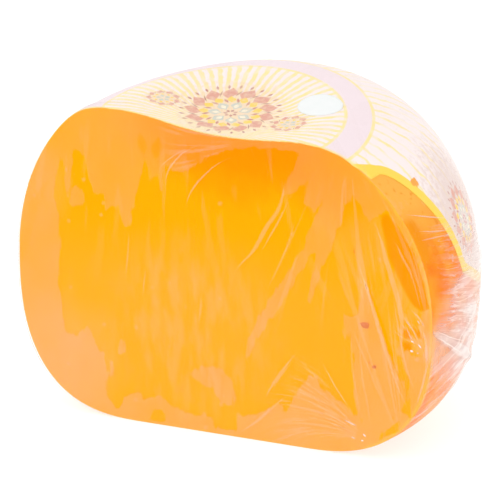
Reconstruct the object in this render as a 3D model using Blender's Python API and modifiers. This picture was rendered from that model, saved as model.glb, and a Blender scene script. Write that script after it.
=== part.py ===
"""A cut piece of a flattened ball of mimolette, wrapped in clear film.

The ball stands on its own flat base. A straight cut takes off the front, so that a bit less than
two thirds of it are left, and the cut face looks towards -Y. A paper label with long lobes lies
over the top and the shoulder, clear film is pulled tight round the whole, and a small round
sticker lies on the film. Everything is in metres, +Z up, and the origin is where the ball's axis
meets the base.
"""

import math

import bmesh
import bpy
from mathutils import Vector

# The ball, before it was cut
BALL_RADIUS = 0.100
BALL_HEIGHT = 0.144
WIDEST_HEIGHT = 0.065  # height of the widest ring above the base
TOP_FLAT_RADIUS = 0.0292
BASE_FLAT_RADIUS = 0.0438
TOP_SHOULDER = (2.38, 2.17)  # roundness outwards and upwards; 2 is a plain ellipse
BASE_SHOULDER = (2.59, 2.46)
CUT_IN_FRONT_OF_AXIS = 0.0207

# How the soft ball settled while it ripened
OVAL_SHARE = 0.045
OVAL_ANGLE = math.radians(61)
TOP_LEAN = Vector((-0.077, 0.082))  # rise of the top for each metre along X and Y
SADDLE_RISE = 0.0065  # of the top's rim, on the saddle's high sides
SADDLE_ANGLE = math.radians(70)
DIP_DEPTH = 0.0098
DIP_RADIUS = 0.0669
DIP_CENTRE = Vector((-0.0083, -0.0070))
CORNER_RISE = 0.002  # a knob of the shoulder, at the cut face's upper left
CORNER_RADIUS = 0.020
CORNER_CENTRE = Vector((-0.070, -0.0207))

# The skins, each as its inner and outer height above the rind
LABEL_LAYER = (0.0003, 0.0006)
FILM_LAYER = (0.0009, 0.0012)
STICKER_LAYER = (0.0015, 0.0018)
FILM_HEM_HEIGHT = 0.002  # the film tucks under the round of the base and stays off the table

# The label: lobes that reach down the side, with a rounded notch between each two
LABEL_LOBES = 3
LABEL_NOTCH_ANGLE = math.radians(-20)
LABEL_NOTCH_HALF = math.radians(19.5)
LABEL_NOTCH_RADIUS = 0.070
LABEL_LOBE_RISE = 0.036
LABEL_EDGE_SOFTNESS = math.radians(12)
LABEL_TIP_HEIGHT = 0.0585
LABEL_TIP_ROUND = 0.057  # how much higher a lobe would end if it were as narrow as its notch

STICKER_CENTRE = Vector((0.0277, 0.0184))
STICKER_RADIUS = 0.0096

# How finely the round shapes are faceted
TURN_STEPS = 72
SHOULDER_STEPS = 11
CROWN_RINGS = 3
LABEL_OUTLINE_STEPS = 180
STICKER_STEPS = 48

REACH = 0.2  # half the side of a cutter, larger than the ball
MERGE_DISTANCE = 0.00001


def shoulder(flat, rise, roundness, step):
    """One point of a rounded quarter: how far out and how far up, from the flat to the widest ring."""
    angle = math.pi / 2 * (1 - step / SHOULDER_STEPS)
    outwards = abs(math.cos(angle)) ** (2 / roundness[0])
    upwards = math.sin(angle) ** (2 / roundness[1])
    return flat + (BALL_RADIUS - flat) * outwards, rise * upwards


def ball_profile():
    """The ball's outline from the middle of its top, down its outer side, to the middle of its base."""
    points = [Vector((TOP_FLAT_RADIUS * ring / CROWN_RINGS, BALL_HEIGHT)) for ring in range(CROWN_RINGS)]
    for step in range(SHOULDER_STEPS + 1):
        out, up = shoulder(TOP_FLAT_RADIUS, BALL_HEIGHT - WIDEST_HEIGHT, TOP_SHOULDER, step)
        points.append(Vector((out, WIDEST_HEIGHT + up)))
    for step in reversed(range(SHOULDER_STEPS)):
        out, down = shoulder(BASE_FLAT_RADIUS, WIDEST_HEIGHT, BASE_SHOULDER, step)
        points.append(Vector((out, WIDEST_HEIGHT - down)))
    points.append(Vector((0, 0)))
    return points


def raised_profile(layer):
    """The ball's outline moved outwards by one layer's height."""
    points = ball_profile()
    raised = []
    for index, point in enumerate(points):
        before = points[max(index - 1, 0)]
        after = points[min(index + 1, len(points) - 1)]
        along = (after - before).normalized()
        outwards = Vector((-along.y, along.x))
        raised.append(point + outwards * layer)
    raised[0].x = 0
    raised[-1].x = 0
    return raised


def bell(offset, radius):
    """A smooth swell: 1 in the middle, 0 at this radius and beyond."""
    return max(0, 1 - (offset.length / radius) ** 2) ** 2


def settled(point):
    """Where a point of the even ball lies on the real one: a little oval, leaning and dipped on top."""
    angle = math.atan2(point.y, point.x)
    spread = 1 + OVAL_SHARE * math.cos(2 * (angle - OVAL_ANGLE))
    flat = Vector((point.x, point.y)) * spread
    share = flat.length / BALL_RADIUS
    above = (point.z - WIDEST_HEIGHT) / (BALL_HEIGHT - WIDEST_HEIGHT)
    rise = SADDLE_RISE * share**2 * math.cos(2 * (angle - SADDLE_ANGLE))
    rise += CORNER_RISE * bell(flat - CORNER_CENTRE, CORNER_RADIUS)
    rise -= DIP_DEPTH * bell(flat - DIP_CENTRE, DIP_RADIUS)
    lean = TOP_LEAN.dot(flat) * point.z / BALL_HEIGHT
    return Vector((flat.x, flat.y, point.z + rise * min(max(above, 0), 1) + lean))


def collection(name):
    """A new collection in the scene."""
    made = bpy.data.collections.new(name)
    bpy.context.scene.collection.children.link(made)
    return made


def add_object(name, mesh, home):
    """A new object with this mesh, in this collection."""
    made = bpy.data.objects.new(name, mesh)
    home.objects.link(made)
    return made


def as_cutter(cutter):
    """Marks an object that only cuts others."""
    cutter.hide_render = True
    cutter.display_type = "WIRE"
    return cutter


def boolean(target, cutter, operation):
    """Cuts target with cutter, or keeps what they share."""
    cut = target.modifiers.new(cutter.name, "BOOLEAN")
    cut.operation = operation
    cut.solver = "EXACT"
    cut.object = cutter


def weld(piece):
    """Joins the points that the cuts left closer together than a hair."""
    joined = piece.modifiers.new("weld", "WELD")
    joined.merge_threshold = MERGE_DISTANCE


def turned_ball(name, layer, home):
    """The whole settled ball, its surface raised by one layer's height."""
    profile = raised_profile(layer)
    mesh = bpy.data.meshes.new(f"{name}_profile")
    edges = [(index, index + 1) for index in range(len(profile) - 1)]
    mesh.from_pydata([(point.x, 0, point.y) for point in profile], edges, [])
    outline = add_object(f"{name}_profile", mesh, home)
    screw = outline.modifiers.new("turn", "SCREW")
    screw.steps = TURN_STEPS
    screw.render_steps = TURN_STEPS
    screw.use_merge_vertices = True
    screw.merge_threshold = MERGE_DISTANCE
    evaluated = outline.evaluated_get(bpy.context.evaluated_depsgraph_get())
    turned = bpy.data.meshes.new_from_object(evaluated)
    turned.name = name
    bpy.data.objects.remove(outline)
    for vertex in turned.vertices:
        vertex.co = settled(vertex.co)
    return add_object(name, turned, home)


def block(name, low, high):
    """A box cutter between two corners."""
    bm = bmesh.new()
    bmesh.ops.create_cube(bm, size=1)
    middle = (low + high) / 2
    for vertex in bm.verts:
        vertex.co = middle + vertex.co * (high - low)
    mesh = bpy.data.meshes.new(name)
    bm.to_mesh(mesh)
    bm.free()
    return as_cutter(add_object(name, mesh, CUTTERS))


def knife(name, clearance):
    """A cutter for all that lies in front of the cut face, less what a layer stands proud of it."""
    front = -CUT_IN_FRONT_OF_AXIS - clearance
    return block(name, Vector((-REACH, -REACH, -REACH)), Vector((REACH, front, REACH)))


def cut_ball(name, layer, face_layer, home):
    """The ball's piece behind the cut, with its round side and its cut face each raised by a layer."""
    piece = turned_ball(name, layer, home)
    boolean(piece, knife(f"{name}_knife", face_layer), "DIFFERENCE")
    return piece


def angle_from_notch(angle):
    """The angle between a direction and the middle of the nearest notch of the label."""
    turn = 2 * math.pi / LABEL_LOBES
    return abs((angle - LABEL_NOTCH_ANGLE + turn / 2) % turn - turn / 2)


def label_reach(angle):
    """How far from the axis the label's outline runs in this direction, seen from above."""
    rising = (angle_from_notch(angle) - LABEL_NOTCH_HALF) / (2 * LABEL_EDGE_SOFTNESS) + 0.5
    rising = min(max(rising, 0), 1)
    return LABEL_NOTCH_RADIUS + LABEL_LOBE_RISE * rising**2 * (3 - 2 * rising)


def label_tip(angle):
    """How low the label hangs in this direction: lowest in the middle of a lobe."""
    half_turn = math.pi / LABEL_LOBES
    from_middle = (half_turn - angle_from_notch(angle)) / half_turn
    return LABEL_TIP_HEIGHT + LABEL_TIP_ROUND * from_middle**2


def label_cutter():
    """An upright block with the label's lobed outline, whose underside is the label's lowest edge."""
    bm = bmesh.new()
    bmesh.ops.create_cone(
        bm,
        cap_ends=True,
        cap_tris=True,
        segments=LABEL_OUTLINE_STEPS,
        radius1=1,
        radius2=1,
        depth=BALL_HEIGHT,
    )
    for vertex in bm.verts:
        angle = math.atan2(vertex.co.y, vertex.co.x)
        under = vertex.co.z < 0
        vertex.co.x *= label_reach(angle)
        vertex.co.y *= label_reach(angle)
        vertex.co.z = label_tip(angle) if under else LABEL_TIP_HEIGHT + BALL_HEIGHT
    mesh = bpy.data.meshes.new("label_outline")
    bm.to_mesh(mesh)
    bm.free()
    return as_cutter(add_object("label_outline", mesh, CUTTERS))


def sticker_cutter():
    """An upright round block at the sticker's place."""
    bm = bmesh.new()
    bmesh.ops.create_cone(
        bm,
        cap_ends=True,
        segments=STICKER_STEPS,
        radius1=STICKER_RADIUS,
        radius2=STICKER_RADIUS,
        depth=BALL_HEIGHT,
    )
    for vertex in bm.verts:
        vertex.co += Vector((STICKER_CENTRE.x, STICKER_CENTRE.y, BALL_HEIGHT))
    mesh = bpy.data.meshes.new("sticker_outline")
    bm.to_mesh(mesh)
    bm.free()
    return as_cutter(add_object("sticker_outline", mesh, CUTTERS))


def material(name, colour, roughness, alpha=1.0):
    """A plain finish for one sub-part."""
    made = bpy.data.materials.new(name)
    made.use_nodes = True
    shader = made.node_tree.nodes["Principled BSDF"]
    shader.inputs["Base Color"].default_value = (*colour, 1)
    shader.inputs["Roughness"].default_value = roughness
    shader.inputs["Metallic"].default_value = 0
    shader.inputs["Alpha"].default_value = alpha
    made.diffuse_color = (*colour, alpha)
    return made


def dress(piece, finish):
    """Gives a piece its finish and rounds its shading, but not its cut edges."""
    piece.data.materials.clear()
    piece.data.materials.append(finish)
    piece.data.shade_smooth()
    piece.data.set_sharp_from_angle(angle=math.radians(40))


def make_cheese():
    """The paste and its thin rind, one solid with a flat cut face."""
    cheese = cut_ball("cheese", 0, 0, PARTS)
    dress(cheese, material("orange_paste", (0.98, 0.40, 0.02), 0.45))


def make_label():
    """The paper label, which follows the top and the shoulder and ends flush with the cut."""
    inner, outer = LABEL_LAYER
    label = cut_ball("label", outer, 0, PARTS)
    boolean(label, as_cutter(cut_ball("label_inside", inner, outer, CUTTERS)), "DIFFERENCE")
    boolean(label, label_cutter(), "INTERSECT")
    weld(label)
    dress(label, material("label_paper", (0.94, 0.86, 0.80), 0.55))


def make_film():
    """The clear film round the cheese and its label, open underneath."""
    inner, outer = FILM_LAYER
    film = cut_ball("film", outer, outer, PARTS)
    boolean(film, as_cutter(cut_ball("film_inside", inner, inner, CUTTERS)), "DIFFERENCE")
    below = Vector((REACH, REACH, FILM_HEM_HEIGHT))
    boolean(film, block("film_hem", Vector((-REACH, -REACH, -REACH)), below), "DIFFERENCE")
    dress(film, material("clear_film", (0.95, 0.95, 0.95), 0.12, alpha=0.25))


def make_sticker():
    """The small round sticker on the film."""
    inner, outer = STICKER_LAYER
    sticker = turned_ball("sticker", outer, PARTS)
    boolean(sticker, as_cutter(turned_ball("sticker_inside", inner, CUTTERS)), "DIFFERENCE")
    boolean(sticker, sticker_cutter(), "INTERSECT")
    weld(sticker)
    dress(sticker, material("sticker_paper", (0.92, 0.94, 0.94), 0.4))


for old in list(bpy.data.objects):
    bpy.data.objects.remove(old)

PARTS = collection("wrapped_mimolette")
CUTTERS = collection("cutters")
make_cheese()
make_label()
make_film()
make_sticker()
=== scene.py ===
"""The looks of a cut ball of mimolette: its rind and paste, printed label, sticker and clear wrap."""

import logging
import math
from dataclasses import dataclass
from enum import Enum

import bmesh
import bpy
import numpy as np
from mathutils import Matrix, Vector


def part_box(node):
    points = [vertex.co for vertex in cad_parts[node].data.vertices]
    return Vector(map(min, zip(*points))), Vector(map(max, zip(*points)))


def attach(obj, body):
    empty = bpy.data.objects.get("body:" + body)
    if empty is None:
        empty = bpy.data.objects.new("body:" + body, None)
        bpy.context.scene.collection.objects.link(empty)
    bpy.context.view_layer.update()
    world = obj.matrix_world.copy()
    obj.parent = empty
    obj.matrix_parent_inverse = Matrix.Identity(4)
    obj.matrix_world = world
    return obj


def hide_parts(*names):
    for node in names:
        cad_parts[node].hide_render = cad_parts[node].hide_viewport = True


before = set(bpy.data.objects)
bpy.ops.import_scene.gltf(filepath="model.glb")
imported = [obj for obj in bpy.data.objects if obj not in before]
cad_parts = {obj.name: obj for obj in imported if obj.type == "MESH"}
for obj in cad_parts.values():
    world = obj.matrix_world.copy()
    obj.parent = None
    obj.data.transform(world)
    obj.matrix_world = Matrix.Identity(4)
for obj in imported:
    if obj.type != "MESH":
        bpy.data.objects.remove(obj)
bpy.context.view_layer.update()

LOG = logging.getLogger("wrapped_mimolette")
MM = 0.001
BODY = "root"

Array = np.ndarray
Mesh = bpy.types.Mesh
Socket = bpy.types.NodeSocket
Tree = bpy.types.NodeTree
Values = dict[str, float | bpy.types.Material]


class Side(Enum):
    """A side of the wrap, by the way it faces."""

    FRONT = (0, -1, 0)
    RIGHT = (1, 0, 0)
    LEFT = (-1, 0, 0)
    BACK = (0, 1, 0)
    TOP = (0, 0, 1)

    @property
    def along(self) -> tuple[int, int, int]:
        """The axis that folds on this side follow."""
        return (0, 1, 0) if self in (Side.RIGHT, Side.LEFT) else (0, 0, 1)

    @property
    def across(self) -> tuple[int, int, int]:
        """The axis that folds on this side are crossed along."""
        return (0, 0, 1) if self in (Side.RIGHT, Side.LEFT) else (1, 0, 0)


# ---- Shapes ----------------------------------------------------------------------------------


def bell(offset: Array, radius: float) -> Array:
    """A smooth swell: 1 in the middle, 0 at this radius and beyond."""
    return np.maximum(0, 1 - (np.linalg.norm(offset, axis=-1) / radius) ** 2) ** 2


def smooth_step(value: Array, start: float, end: float) -> Array:
    """0 up to start, 1 from end on, with a smooth change between them."""
    share = np.clip((value - start) / (end - start), 0, 1)
    return share**2 * (3 - 2 * share)


def ripple(points: Array, wavelength: float, seed: int, waves: int = 9) -> Array:
    """A smooth random relief between about -1 and 1.

    Args:
        points: places in space, the last axis holding x, y and z.
        wavelength: the usual distance between two crests, in metres.
        seed: what makes this relief differ from others.
        waves: how many plane waves are added up.

    Returns:
        One height for each point.
    """
    random = np.random.default_rng(seed)
    ways = random.normal(size=(waves, 3))
    ways /= np.linalg.norm(ways, axis=1, keepdims=True)
    pitches = wavelength * random.uniform(0.6, 1.6, waves)
    phases = random.uniform(0, math.tau, waves)
    heights = np.sin(points @ (ways.T * math.tau / pitches) + phases)
    return heights.sum(axis=-1) / math.sqrt(waves)


@dataclass(frozen=True)
class BallForm:
    """The ball as it settled while it ripened, and the straight cut through it."""

    radius: float = 0.100
    height: float = 0.144
    widest: float = 0.065
    top_flat: float = 0.0292
    base_flat: float = 0.0438
    top_shoulder: tuple[float, float] = (2.38, 2.17)
    base_shoulder: tuple[float, float] = (2.59, 2.46)
    cut: float = 0.0207
    oval_share: float = 0.045
    oval_angle: float = math.radians(61)
    top_lean: tuple[float, float] = (-0.077, 0.082)
    saddle_rise: float = 0.0065
    saddle_angle: float = math.radians(70)
    dip_depth: float = 0.0098
    dip_radius: float = 0.0669
    dip_centre: tuple[float, float] = (-0.0083, -0.0070)
    corner_rise: float = 0.002
    corner_radius: float = 0.020
    corner_centre: tuple[float, float] = (-0.070, -0.0207)
    heart: tuple[float, float, float] = (0.0, 0.020, 0.070)  # sees the whole surface

    def spread(self, angle: Array) -> Array:
        """How much wider than round the ball is in this direction."""
        return 1 + self.oval_share * np.cos(2 * (angle - self.oval_angle))

    def uneven(self, flat: Array) -> tuple[Array, Array]:
        """What lifts and tilts the top over a place.

        Args:
            flat: x and y of each place.

        Returns:
            The rise of the top there in metres, and the lean as a share of the height.
        """
        angle = np.arctan2(flat[..., 1], flat[..., 0])
        share = np.linalg.norm(flat, axis=-1) / self.radius
        rise = self.saddle_rise * share**2 * np.cos(2 * (angle - self.saddle_angle))
        rise += self.corner_rise * bell(flat - np.array(self.corner_centre), self.corner_radius)
        rise -= self.dip_depth * bell(flat - np.array(self.dip_centre), self.dip_radius)
        return rise, flat @ np.array(self.top_lean) / self.height

    def settled(self, points: Array) -> Array:
        """Where points of the even ball lie on the real one.

        Args:
            points: places on the even ball, the last axis holding x, y and z.

        Returns:
            The same places on the settled ball.
        """
        angle = np.arctan2(points[..., 1], points[..., 0])
        flat = points[..., :2] * self.spread(angle)[..., None]
        rise, lean = self.uneven(flat)
        above = np.clip((points[..., 2] - self.widest) / (self.height - self.widest), 0, 1)
        up = points[..., 2] * (1 + lean) + rise * above
        return np.concatenate([flat, up[..., None]], axis=-1)

    def outside(self, points: Array) -> Array:
        """Whether each point lies outside the settled ball.

        Args:
            points: places in space, the last axis holding x, y and z.

        Returns:
            True for each that does.
        """
        angle = np.arctan2(points[..., 1], points[..., 0])
        radius = np.linalg.norm(points[..., :2], axis=-1) / self.spread(angle)
        rise, lean = self.uneven(points[..., :2])
        low = points[..., 2] / (1 + lean)
        crown = self.height - self.widest
        high = (points[..., 2] + rise * self.widest / crown) / (1 + lean + rise / crown)
        upper = low > self.widest
        height = np.where(upper, high, low)
        up = np.where(upper, (height - self.widest) / crown, (self.widest - height) / self.widest)
        flat = np.where(upper, self.top_flat, self.base_flat)
        out = np.maximum(radius - flat, 0) / (self.radius - flat)
        wide = np.where(upper, self.top_shoulder[0], self.base_shoulder[0])
        tall = np.where(upper, self.top_shoulder[1], self.base_shoulder[1])
        return out**wide + np.maximum(up, 0) ** tall > 1

    def reach(self, origin: Array, ways: Array) -> Array:
        """How far the surface lies from an inner point, along each unit direction.

        Args:
            origin: the inner point, or one for each direction.
            ways: the unit directions.

        Returns:
            The distance along each, found by halving.
        """
        near = np.zeros(ways.shape[:-1])
        far = np.full_like(near, 2 * self.radius)
        for _ in range(40):
            middle = (near + far) / 2
            out = self.outside(origin + ways * middle[..., None])
            near, far = np.where(out, near, middle), np.where(out, middle, far)
        return (near + far) / 2

    def profile(self, steps: int) -> Array:
        """The even ball's outline, from the middle of its top to the middle of its base.

        Args:
            steps: how many points each shoulder gets.

        Returns:
            Radius, height and length along the outline, for each point.
        """
        quarter = np.linspace(0, math.pi / 2, steps)
        top = np.stack([
            self.top_flat + (self.radius - self.top_flat) * np.sin(quarter) ** (2 / self.top_shoulder[0]),
            self.widest
            + (self.height - self.widest) * np.cos(quarter) ** (2 / self.top_shoulder[1]),
        ], axis=1)
        base = np.stack([
            self.base_flat
            + (self.radius - self.base_flat) * np.cos(quarter[1:]) ** (2 / self.base_shoulder[0]),
            self.widest - self.widest * np.sin(quarter[1:]) ** (2 / self.base_shoulder[1]),
        ], axis=1)
        line = np.concatenate([[[0, self.height]], top, base, [[0, 0]]])
        length = np.concatenate([[0], np.cumsum(np.linalg.norm(np.diff(line, axis=0), axis=1))])
        return np.column_stack([line, length])


BALL = BallForm()


@dataclass(frozen=True)
class RingSheet:
    """Rings of points over the cut face and on over the round side to the back, for one skin."""

    around: int
    face_rings: int
    round_rings: int
    edge: float  # how far the rings next to the cut's edge lie from it

    def outline(self) -> tuple[Array, Array]:
        """The cut's outline, as evenly spaced points.

        Returns:
            Each point's angle about the heart, and its distance from it.
        """
        angle = np.linspace(0, math.tau, 8 * self.around + 1)
        reach = BALL.reach(self.face_middle(), self.spokes(angle, math.pi / 2))
        places = self.spokes(angle, math.pi / 2) * reach[:, None]
        steps = np.linalg.norm(np.diff(places, axis=0), axis=1)
        run = np.concatenate([[0], np.cumsum(steps)])
        even = np.linspace(0, run[-1], self.around, endpoint=False)
        return np.interp(even, run, angle), np.interp(even, run, reach)

    def face_middle(self) -> Array:
        """The point of the cut face that lies straight in front of the heart."""
        return np.array([BALL.heart[0], -BALL.cut, BALL.heart[2]])

    def spokes(self, angle: Array, from_back: Array | float) -> Array:
        """Unit directions at these angles about the Y axis and from its back end."""
        out = np.sin(from_back)
        return np.stack([out * np.cos(angle), np.cos(from_back) + 0 * angle, out * np.sin(angle)], -1)

    def points(self) -> tuple[Array, Array]:
        """Every point of the sheet.

        Returns:
            The points as rings by places around, and how far each lies from the cut's edge:
            more than 0 on the round side, less on the face. The first and the last ring are
            each a single place.
        """
        angle, reach = self.outline()
        inside = (reach - self.edge) * np.arange(self.face_rings)[:, None] / (self.face_rings - 1)
        face = np.concatenate([inside, reach[None]])
        flat = self.spokes(angle, math.pi / 2)
        rings = [self.face_middle() + flat * distance[:, None] for distance in face]
        heart = np.array(BALL.heart)
        turn = math.pi - np.arctan2(reach, heart[1] + BALL.cut)
        first = 1 - self.edge / (turn * BALL.radius)
        for step in first * np.linspace(1, 0, self.round_rings + 1)[:, None]:
            way = self.spokes(angle, turn * step)
            rings.append(heart + way * BALL.reach(heart, way)[:, None])
        rows = np.array(rings)
        run = np.linalg.norm(np.diff(rows, axis=0), axis=2)
        distance = np.concatenate([0 * run[:1], np.cumsum(run, axis=0)])
        return rows, distance - distance[self.face_rings]

    def mesh(self, name: str) -> tuple[Mesh, Array]:
        """Makes the sheet as one closed mesh.

        Args:
            name: the mesh's name.

        Returns:
            The mesh, and how far each vertex lies from the cut's edge.
        """
        rows, distance = self.points()
        made = ring_mesh(name, rows, closed_end=True)
        return made, np.concatenate([distance[0, :1], distance[1:-1].ravel(), distance[-1, :1]])


def ring_mesh(name: str, rows: Array, closed_end: bool) -> Mesh:
    """A mesh of rings that starts at a pole.

    Args:
        name: the mesh's name.
        rows: rings by places around by xyz; the first ring is one place.
        closed_end: whether the last ring is one place too.

    Returns:
        The mesh, its faces pointing away from the inside.
    """
    around = rows.shape[1]
    last = rows.shape[0] - 1 if closed_end else rows.shape[0]
    rings = rows[1:last].reshape(-1, 3)
    points = [rows[:1, 0], rings] + ([rows[-1:, 0]] if closed_end else [])
    here = np.arange(around)
    after = (here + 1) % around
    faces = np.stack([0 * here, here + 1, after + 1], 1).tolist()
    for ring in range(last - 2):
        a, b = 1 + ring * around, 1 + (ring + 1) * around
        faces += np.stack([a + here, b + here, b + after, a + after], 1).tolist()
    if closed_end:
        end = 1 + rings.shape[0]
        faces += np.stack([end - around + here, 0 * here + end, end - around + after], 1).tolist()
    mesh = bpy.data.meshes.new(name)
    mesh.from_pydata(np.concatenate(points).tolist(), [], faces)
    mesh.update()
    return mesh


def vertex_places(mesh: Mesh) -> Array:
    """Where the mesh's vertices are.

    Args:
        mesh: the mesh.

    Returns:
        The place of each.
    """
    places = np.empty(len(mesh.vertices) * 3, np.float32)
    mesh.vertices.foreach_get("co", places)
    return places.reshape(-1, 3).astype(float)


def vertex_normals(mesh: Mesh) -> Array:
    """The way the surface faces at each vertex.

    Args:
        mesh: the mesh.

    Returns:
        A unit direction for each.
    """
    normals = np.empty(len(mesh.vertices) * 3, np.float32)
    mesh.vertex_normals.foreach_get("vector", normals)
    return normals.reshape(-1, 3).astype(float)


def move_vertices(mesh: Mesh, places: Array) -> None:
    """Puts the mesh's vertices at these places."""
    mesh.vertices.foreach_set("co", places.astype(np.float32).ravel())
    mesh.update()


def keep(mesh: Mesh, name: str, values: Array) -> None:
    """Stores a number or a direction for each vertex under this name.

    Args:
        mesh: the mesh that carries them.
        name: the attribute's name.
        values: one number, or one xyz, for each vertex.
    """
    is_way = values.ndim == 2
    layer = mesh.attributes.new(name, "FLOAT_VECTOR" if is_way else "FLOAT", "POINT")
    layer.data.foreach_set("vector" if is_way else "value", values.astype(np.float32).ravel())


def keep_uv(mesh: Mesh, name: str, flat: Array) -> None:
    """Stores a flat place for each vertex as a UV map.

    Args:
        mesh: the mesh that carries them.
        name: the map's name.
        flat: x and y for each vertex.
    """
    corners = np.empty(len(mesh.loops), np.int32)
    mesh.loops.foreach_get("vertex_index", corners)
    mesh.uv_layers.new(name=name).uv.foreach_set("vector", flat[corners].astype(np.float32).ravel())


def show(mesh: Mesh, name: str) -> bpy.types.Object:
    """A new object at the origin with this mesh, shaded smooth.

    Args:
        mesh: what it shows.
        name: its name.

    Returns:
        The object.
    """
    piece = bpy.data.objects.new(name, mesh)
    bpy.context.scene.collection.objects.link(piece)
    mesh.shade_smooth()
    return piece


def settle_modifiers(piece: bpy.types.Object) -> None:
    """Turns what the modifiers make of the piece into its own plain mesh.

    Args:
        piece: the piece, which keeps none of its modifiers.
    """
    depsgraph = bpy.context.evaluated_depsgraph_get()
    made = bpy.data.meshes.new_from_object(
        piece.evaluated_get(depsgraph), preserve_all_data_layers=True, depsgraph=depsgraph
    )
    piece.modifiers.clear()
    old = piece.data
    piece.data = made
    bpy.data.meshes.remove(old)
    made.name = piece.name


def thicken(piece: bpy.types.Object, wall: float, inside: int = 0) -> None:
    """Gives a sheet its wall, outwards from where the sheet lies.

    Args:
        piece: the sheet.
        wall: how thick it becomes.
        inside: the material slot of its inner face.
    """
    solid = piece.modifiers.new("wall", "SOLIDIFY")
    solid.material_offset = inside
    solid.thickness = wall
    solid.offset = 1
    solid.use_even_offset = False
    settle_modifiers(piece)


def stand_for(piece: bpy.types.Object, node: str) -> None:
    """Lets the piece ride on the body in place of a node, which it hides.

    Args:
        piece: the finished piece.
        node: the solid that it stands for.
    """
    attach(piece, BODY)
    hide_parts(node)
    low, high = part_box(node)
    size = (high - low) / MM
    LOG.info("%s: %d faces, for a node of %.0f x %.0f x %.0f mm",
             piece.name, len(piece.data.polygons), *size)


# ---- Node trees ------------------------------------------------------------------------------

SOFT = {"interpolation_type": "SMOOTHSTEP"}
MIX = {"data_type": "RGBA", "out": 2}


def add(tree: Tree, kind: str, inputs: tuple | dict = (), out: int | str = 0, **settings: object) -> Socket:
    """Adds a node with its settings and links.

    Args:
        tree: the shader or geometry tree that gets it.
        kind: the node's type, without its first part where that is ShaderNode.
        inputs: what each input gets, in order or by name: a socket is linked, None is left as
            it is, and anything else is set.
        out: which output is handed back.
        settings: the node's own options.

    Returns:
        The output socket.
    """
    node = tree.nodes.new(kind if "Node" in kind else f"ShaderNode{kind}")
    for name, value in settings.items():
        setattr(node, name, value)
    for name, value in inputs.items() if isinstance(inputs, dict) else enumerate(inputs):
        if isinstance(value, bpy.types.NodeSocket):
            tree.links.new(value, node.inputs[name])
        elif value is not None:
            node.inputs[name].default_value = value
    return node.outputs[out] if len(node.outputs) else None


def colour(code: str) -> tuple[float, float, float, float]:
    """An sRGB hex code as linear light.

    Args:
        code: the colour, written #RRGGBB.

    Returns:
        Its red, green and blue, and full alpha.
    """
    parts = [int(code[at:at + 2], 16) / 255 for at in (1, 3, 5)]
    line = [part / 12.92 if part <= 0.04045 else ((part + 0.055) / 1.055) ** 2.4 for part in parts]
    return (*line, 1.0)


def new_material(name: str) -> tuple[bpy.types.Material, Tree, dict[str, Socket]]:
    """Makes a material with one plain shader.

    Args:
        name: its name.

    Returns:
        The material, its tree and the shader's inputs.
    """
    made = bpy.data.materials.new(name)
    made.use_nodes = True
    return made, made.node_tree, made.node_tree.nodes["Principled BSDF"].inputs


def surface(
    tree: Tree,
    shader: dict[str, Socket],
    skin: Socket,
    relief: Socket | None,
    roughness: float,
    ior: float = 1.5,
) -> None:
    """Gives a shader its colour and relief, and sets how it shines.

    Args:
        tree: the material's tree.
        shader: the shader's inputs.
        skin: the colour.
        relief: the fine relief, or None where it has none.
        roughness: how matt it is.
        ior: how strongly it reflects.
    """
    tree.links.new(skin, shader["Base Color"])
    if relief is not None:
        tree.links.new(relief, shader["Normal"])
    shader["Roughness"].default_value = roughness
    shader["IOR"].default_value = ior


def off_middle(tree: Tree, value: Socket, middle: Socket | float) -> Socket:
    """How far a number is from a middle, to either side."""
    off = add(tree, "Math", (value, middle), operation="SUBTRACT")
    return add(tree, "Math", (off,), operation="ABSOLUTE")


def geometry_tree(name: str, given: str, made: str, values: Values) -> tuple[Tree, dict[str, Socket]]:
    """Starts a geometry tree with named inputs.

    Args:
        name: the tree's name.
        given: what the geometry that goes in is called.
        made: what the geometry that comes out is called.
        values: the other inputs, each a length in metres or a material.

    Returns:
        The tree, and the socket of each input.
    """
    tree = bpy.data.node_groups.new(name, "GeometryNodeTree")
    tree.interface.new_socket(given, in_out="INPUT", socket_type="NodeSocketGeometry")
    for title, value in values.items():
        kind = "NodeSocketMaterial" if isinstance(value, bpy.types.Material) else "NodeSocketFloat"
        tree.interface.new_socket(title, in_out="INPUT", socket_type=kind)
    tree.interface.new_socket(made, in_out="OUTPUT", socket_type="NodeSocketGeometry")
    return tree, add(tree, "NodeGroupInput").node.outputs


def run_tree(piece: bpy.types.Object, tree: Tree, values: Values) -> None:
    """Turns the piece into the plain mesh that a geometry tree makes of it.

    Args:
        piece: the piece that goes into the tree.
        tree: the tree, from geometry_tree.
        values: what each of its named inputs gets.
    """
    modifier = piece.modifiers.new(tree.name, "NODES")
    modifier.node_group = tree
    for item in tree.interface.items_tree:
        if item.in_out == "INPUT" and item.name in values:
            modifier[item.identifier] = values[item.name]
    settle_modifiers(piece)


# ---- Finishes --------------------------------------------------------------------------------

PATCH_PITCH = 2.4 * MM  # from one bend to the next of the line along which the wrap lets go
PATCH_STRAY = 1.1 * MM  # how far that line strays from a patch's outline
PATCH_SOFT = 0.35 * MM  # to either side of it
GROOVE_SOFT = (-0.6 * MM, 1.0 * MM)  # where a groove begins, and where it is full


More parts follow.
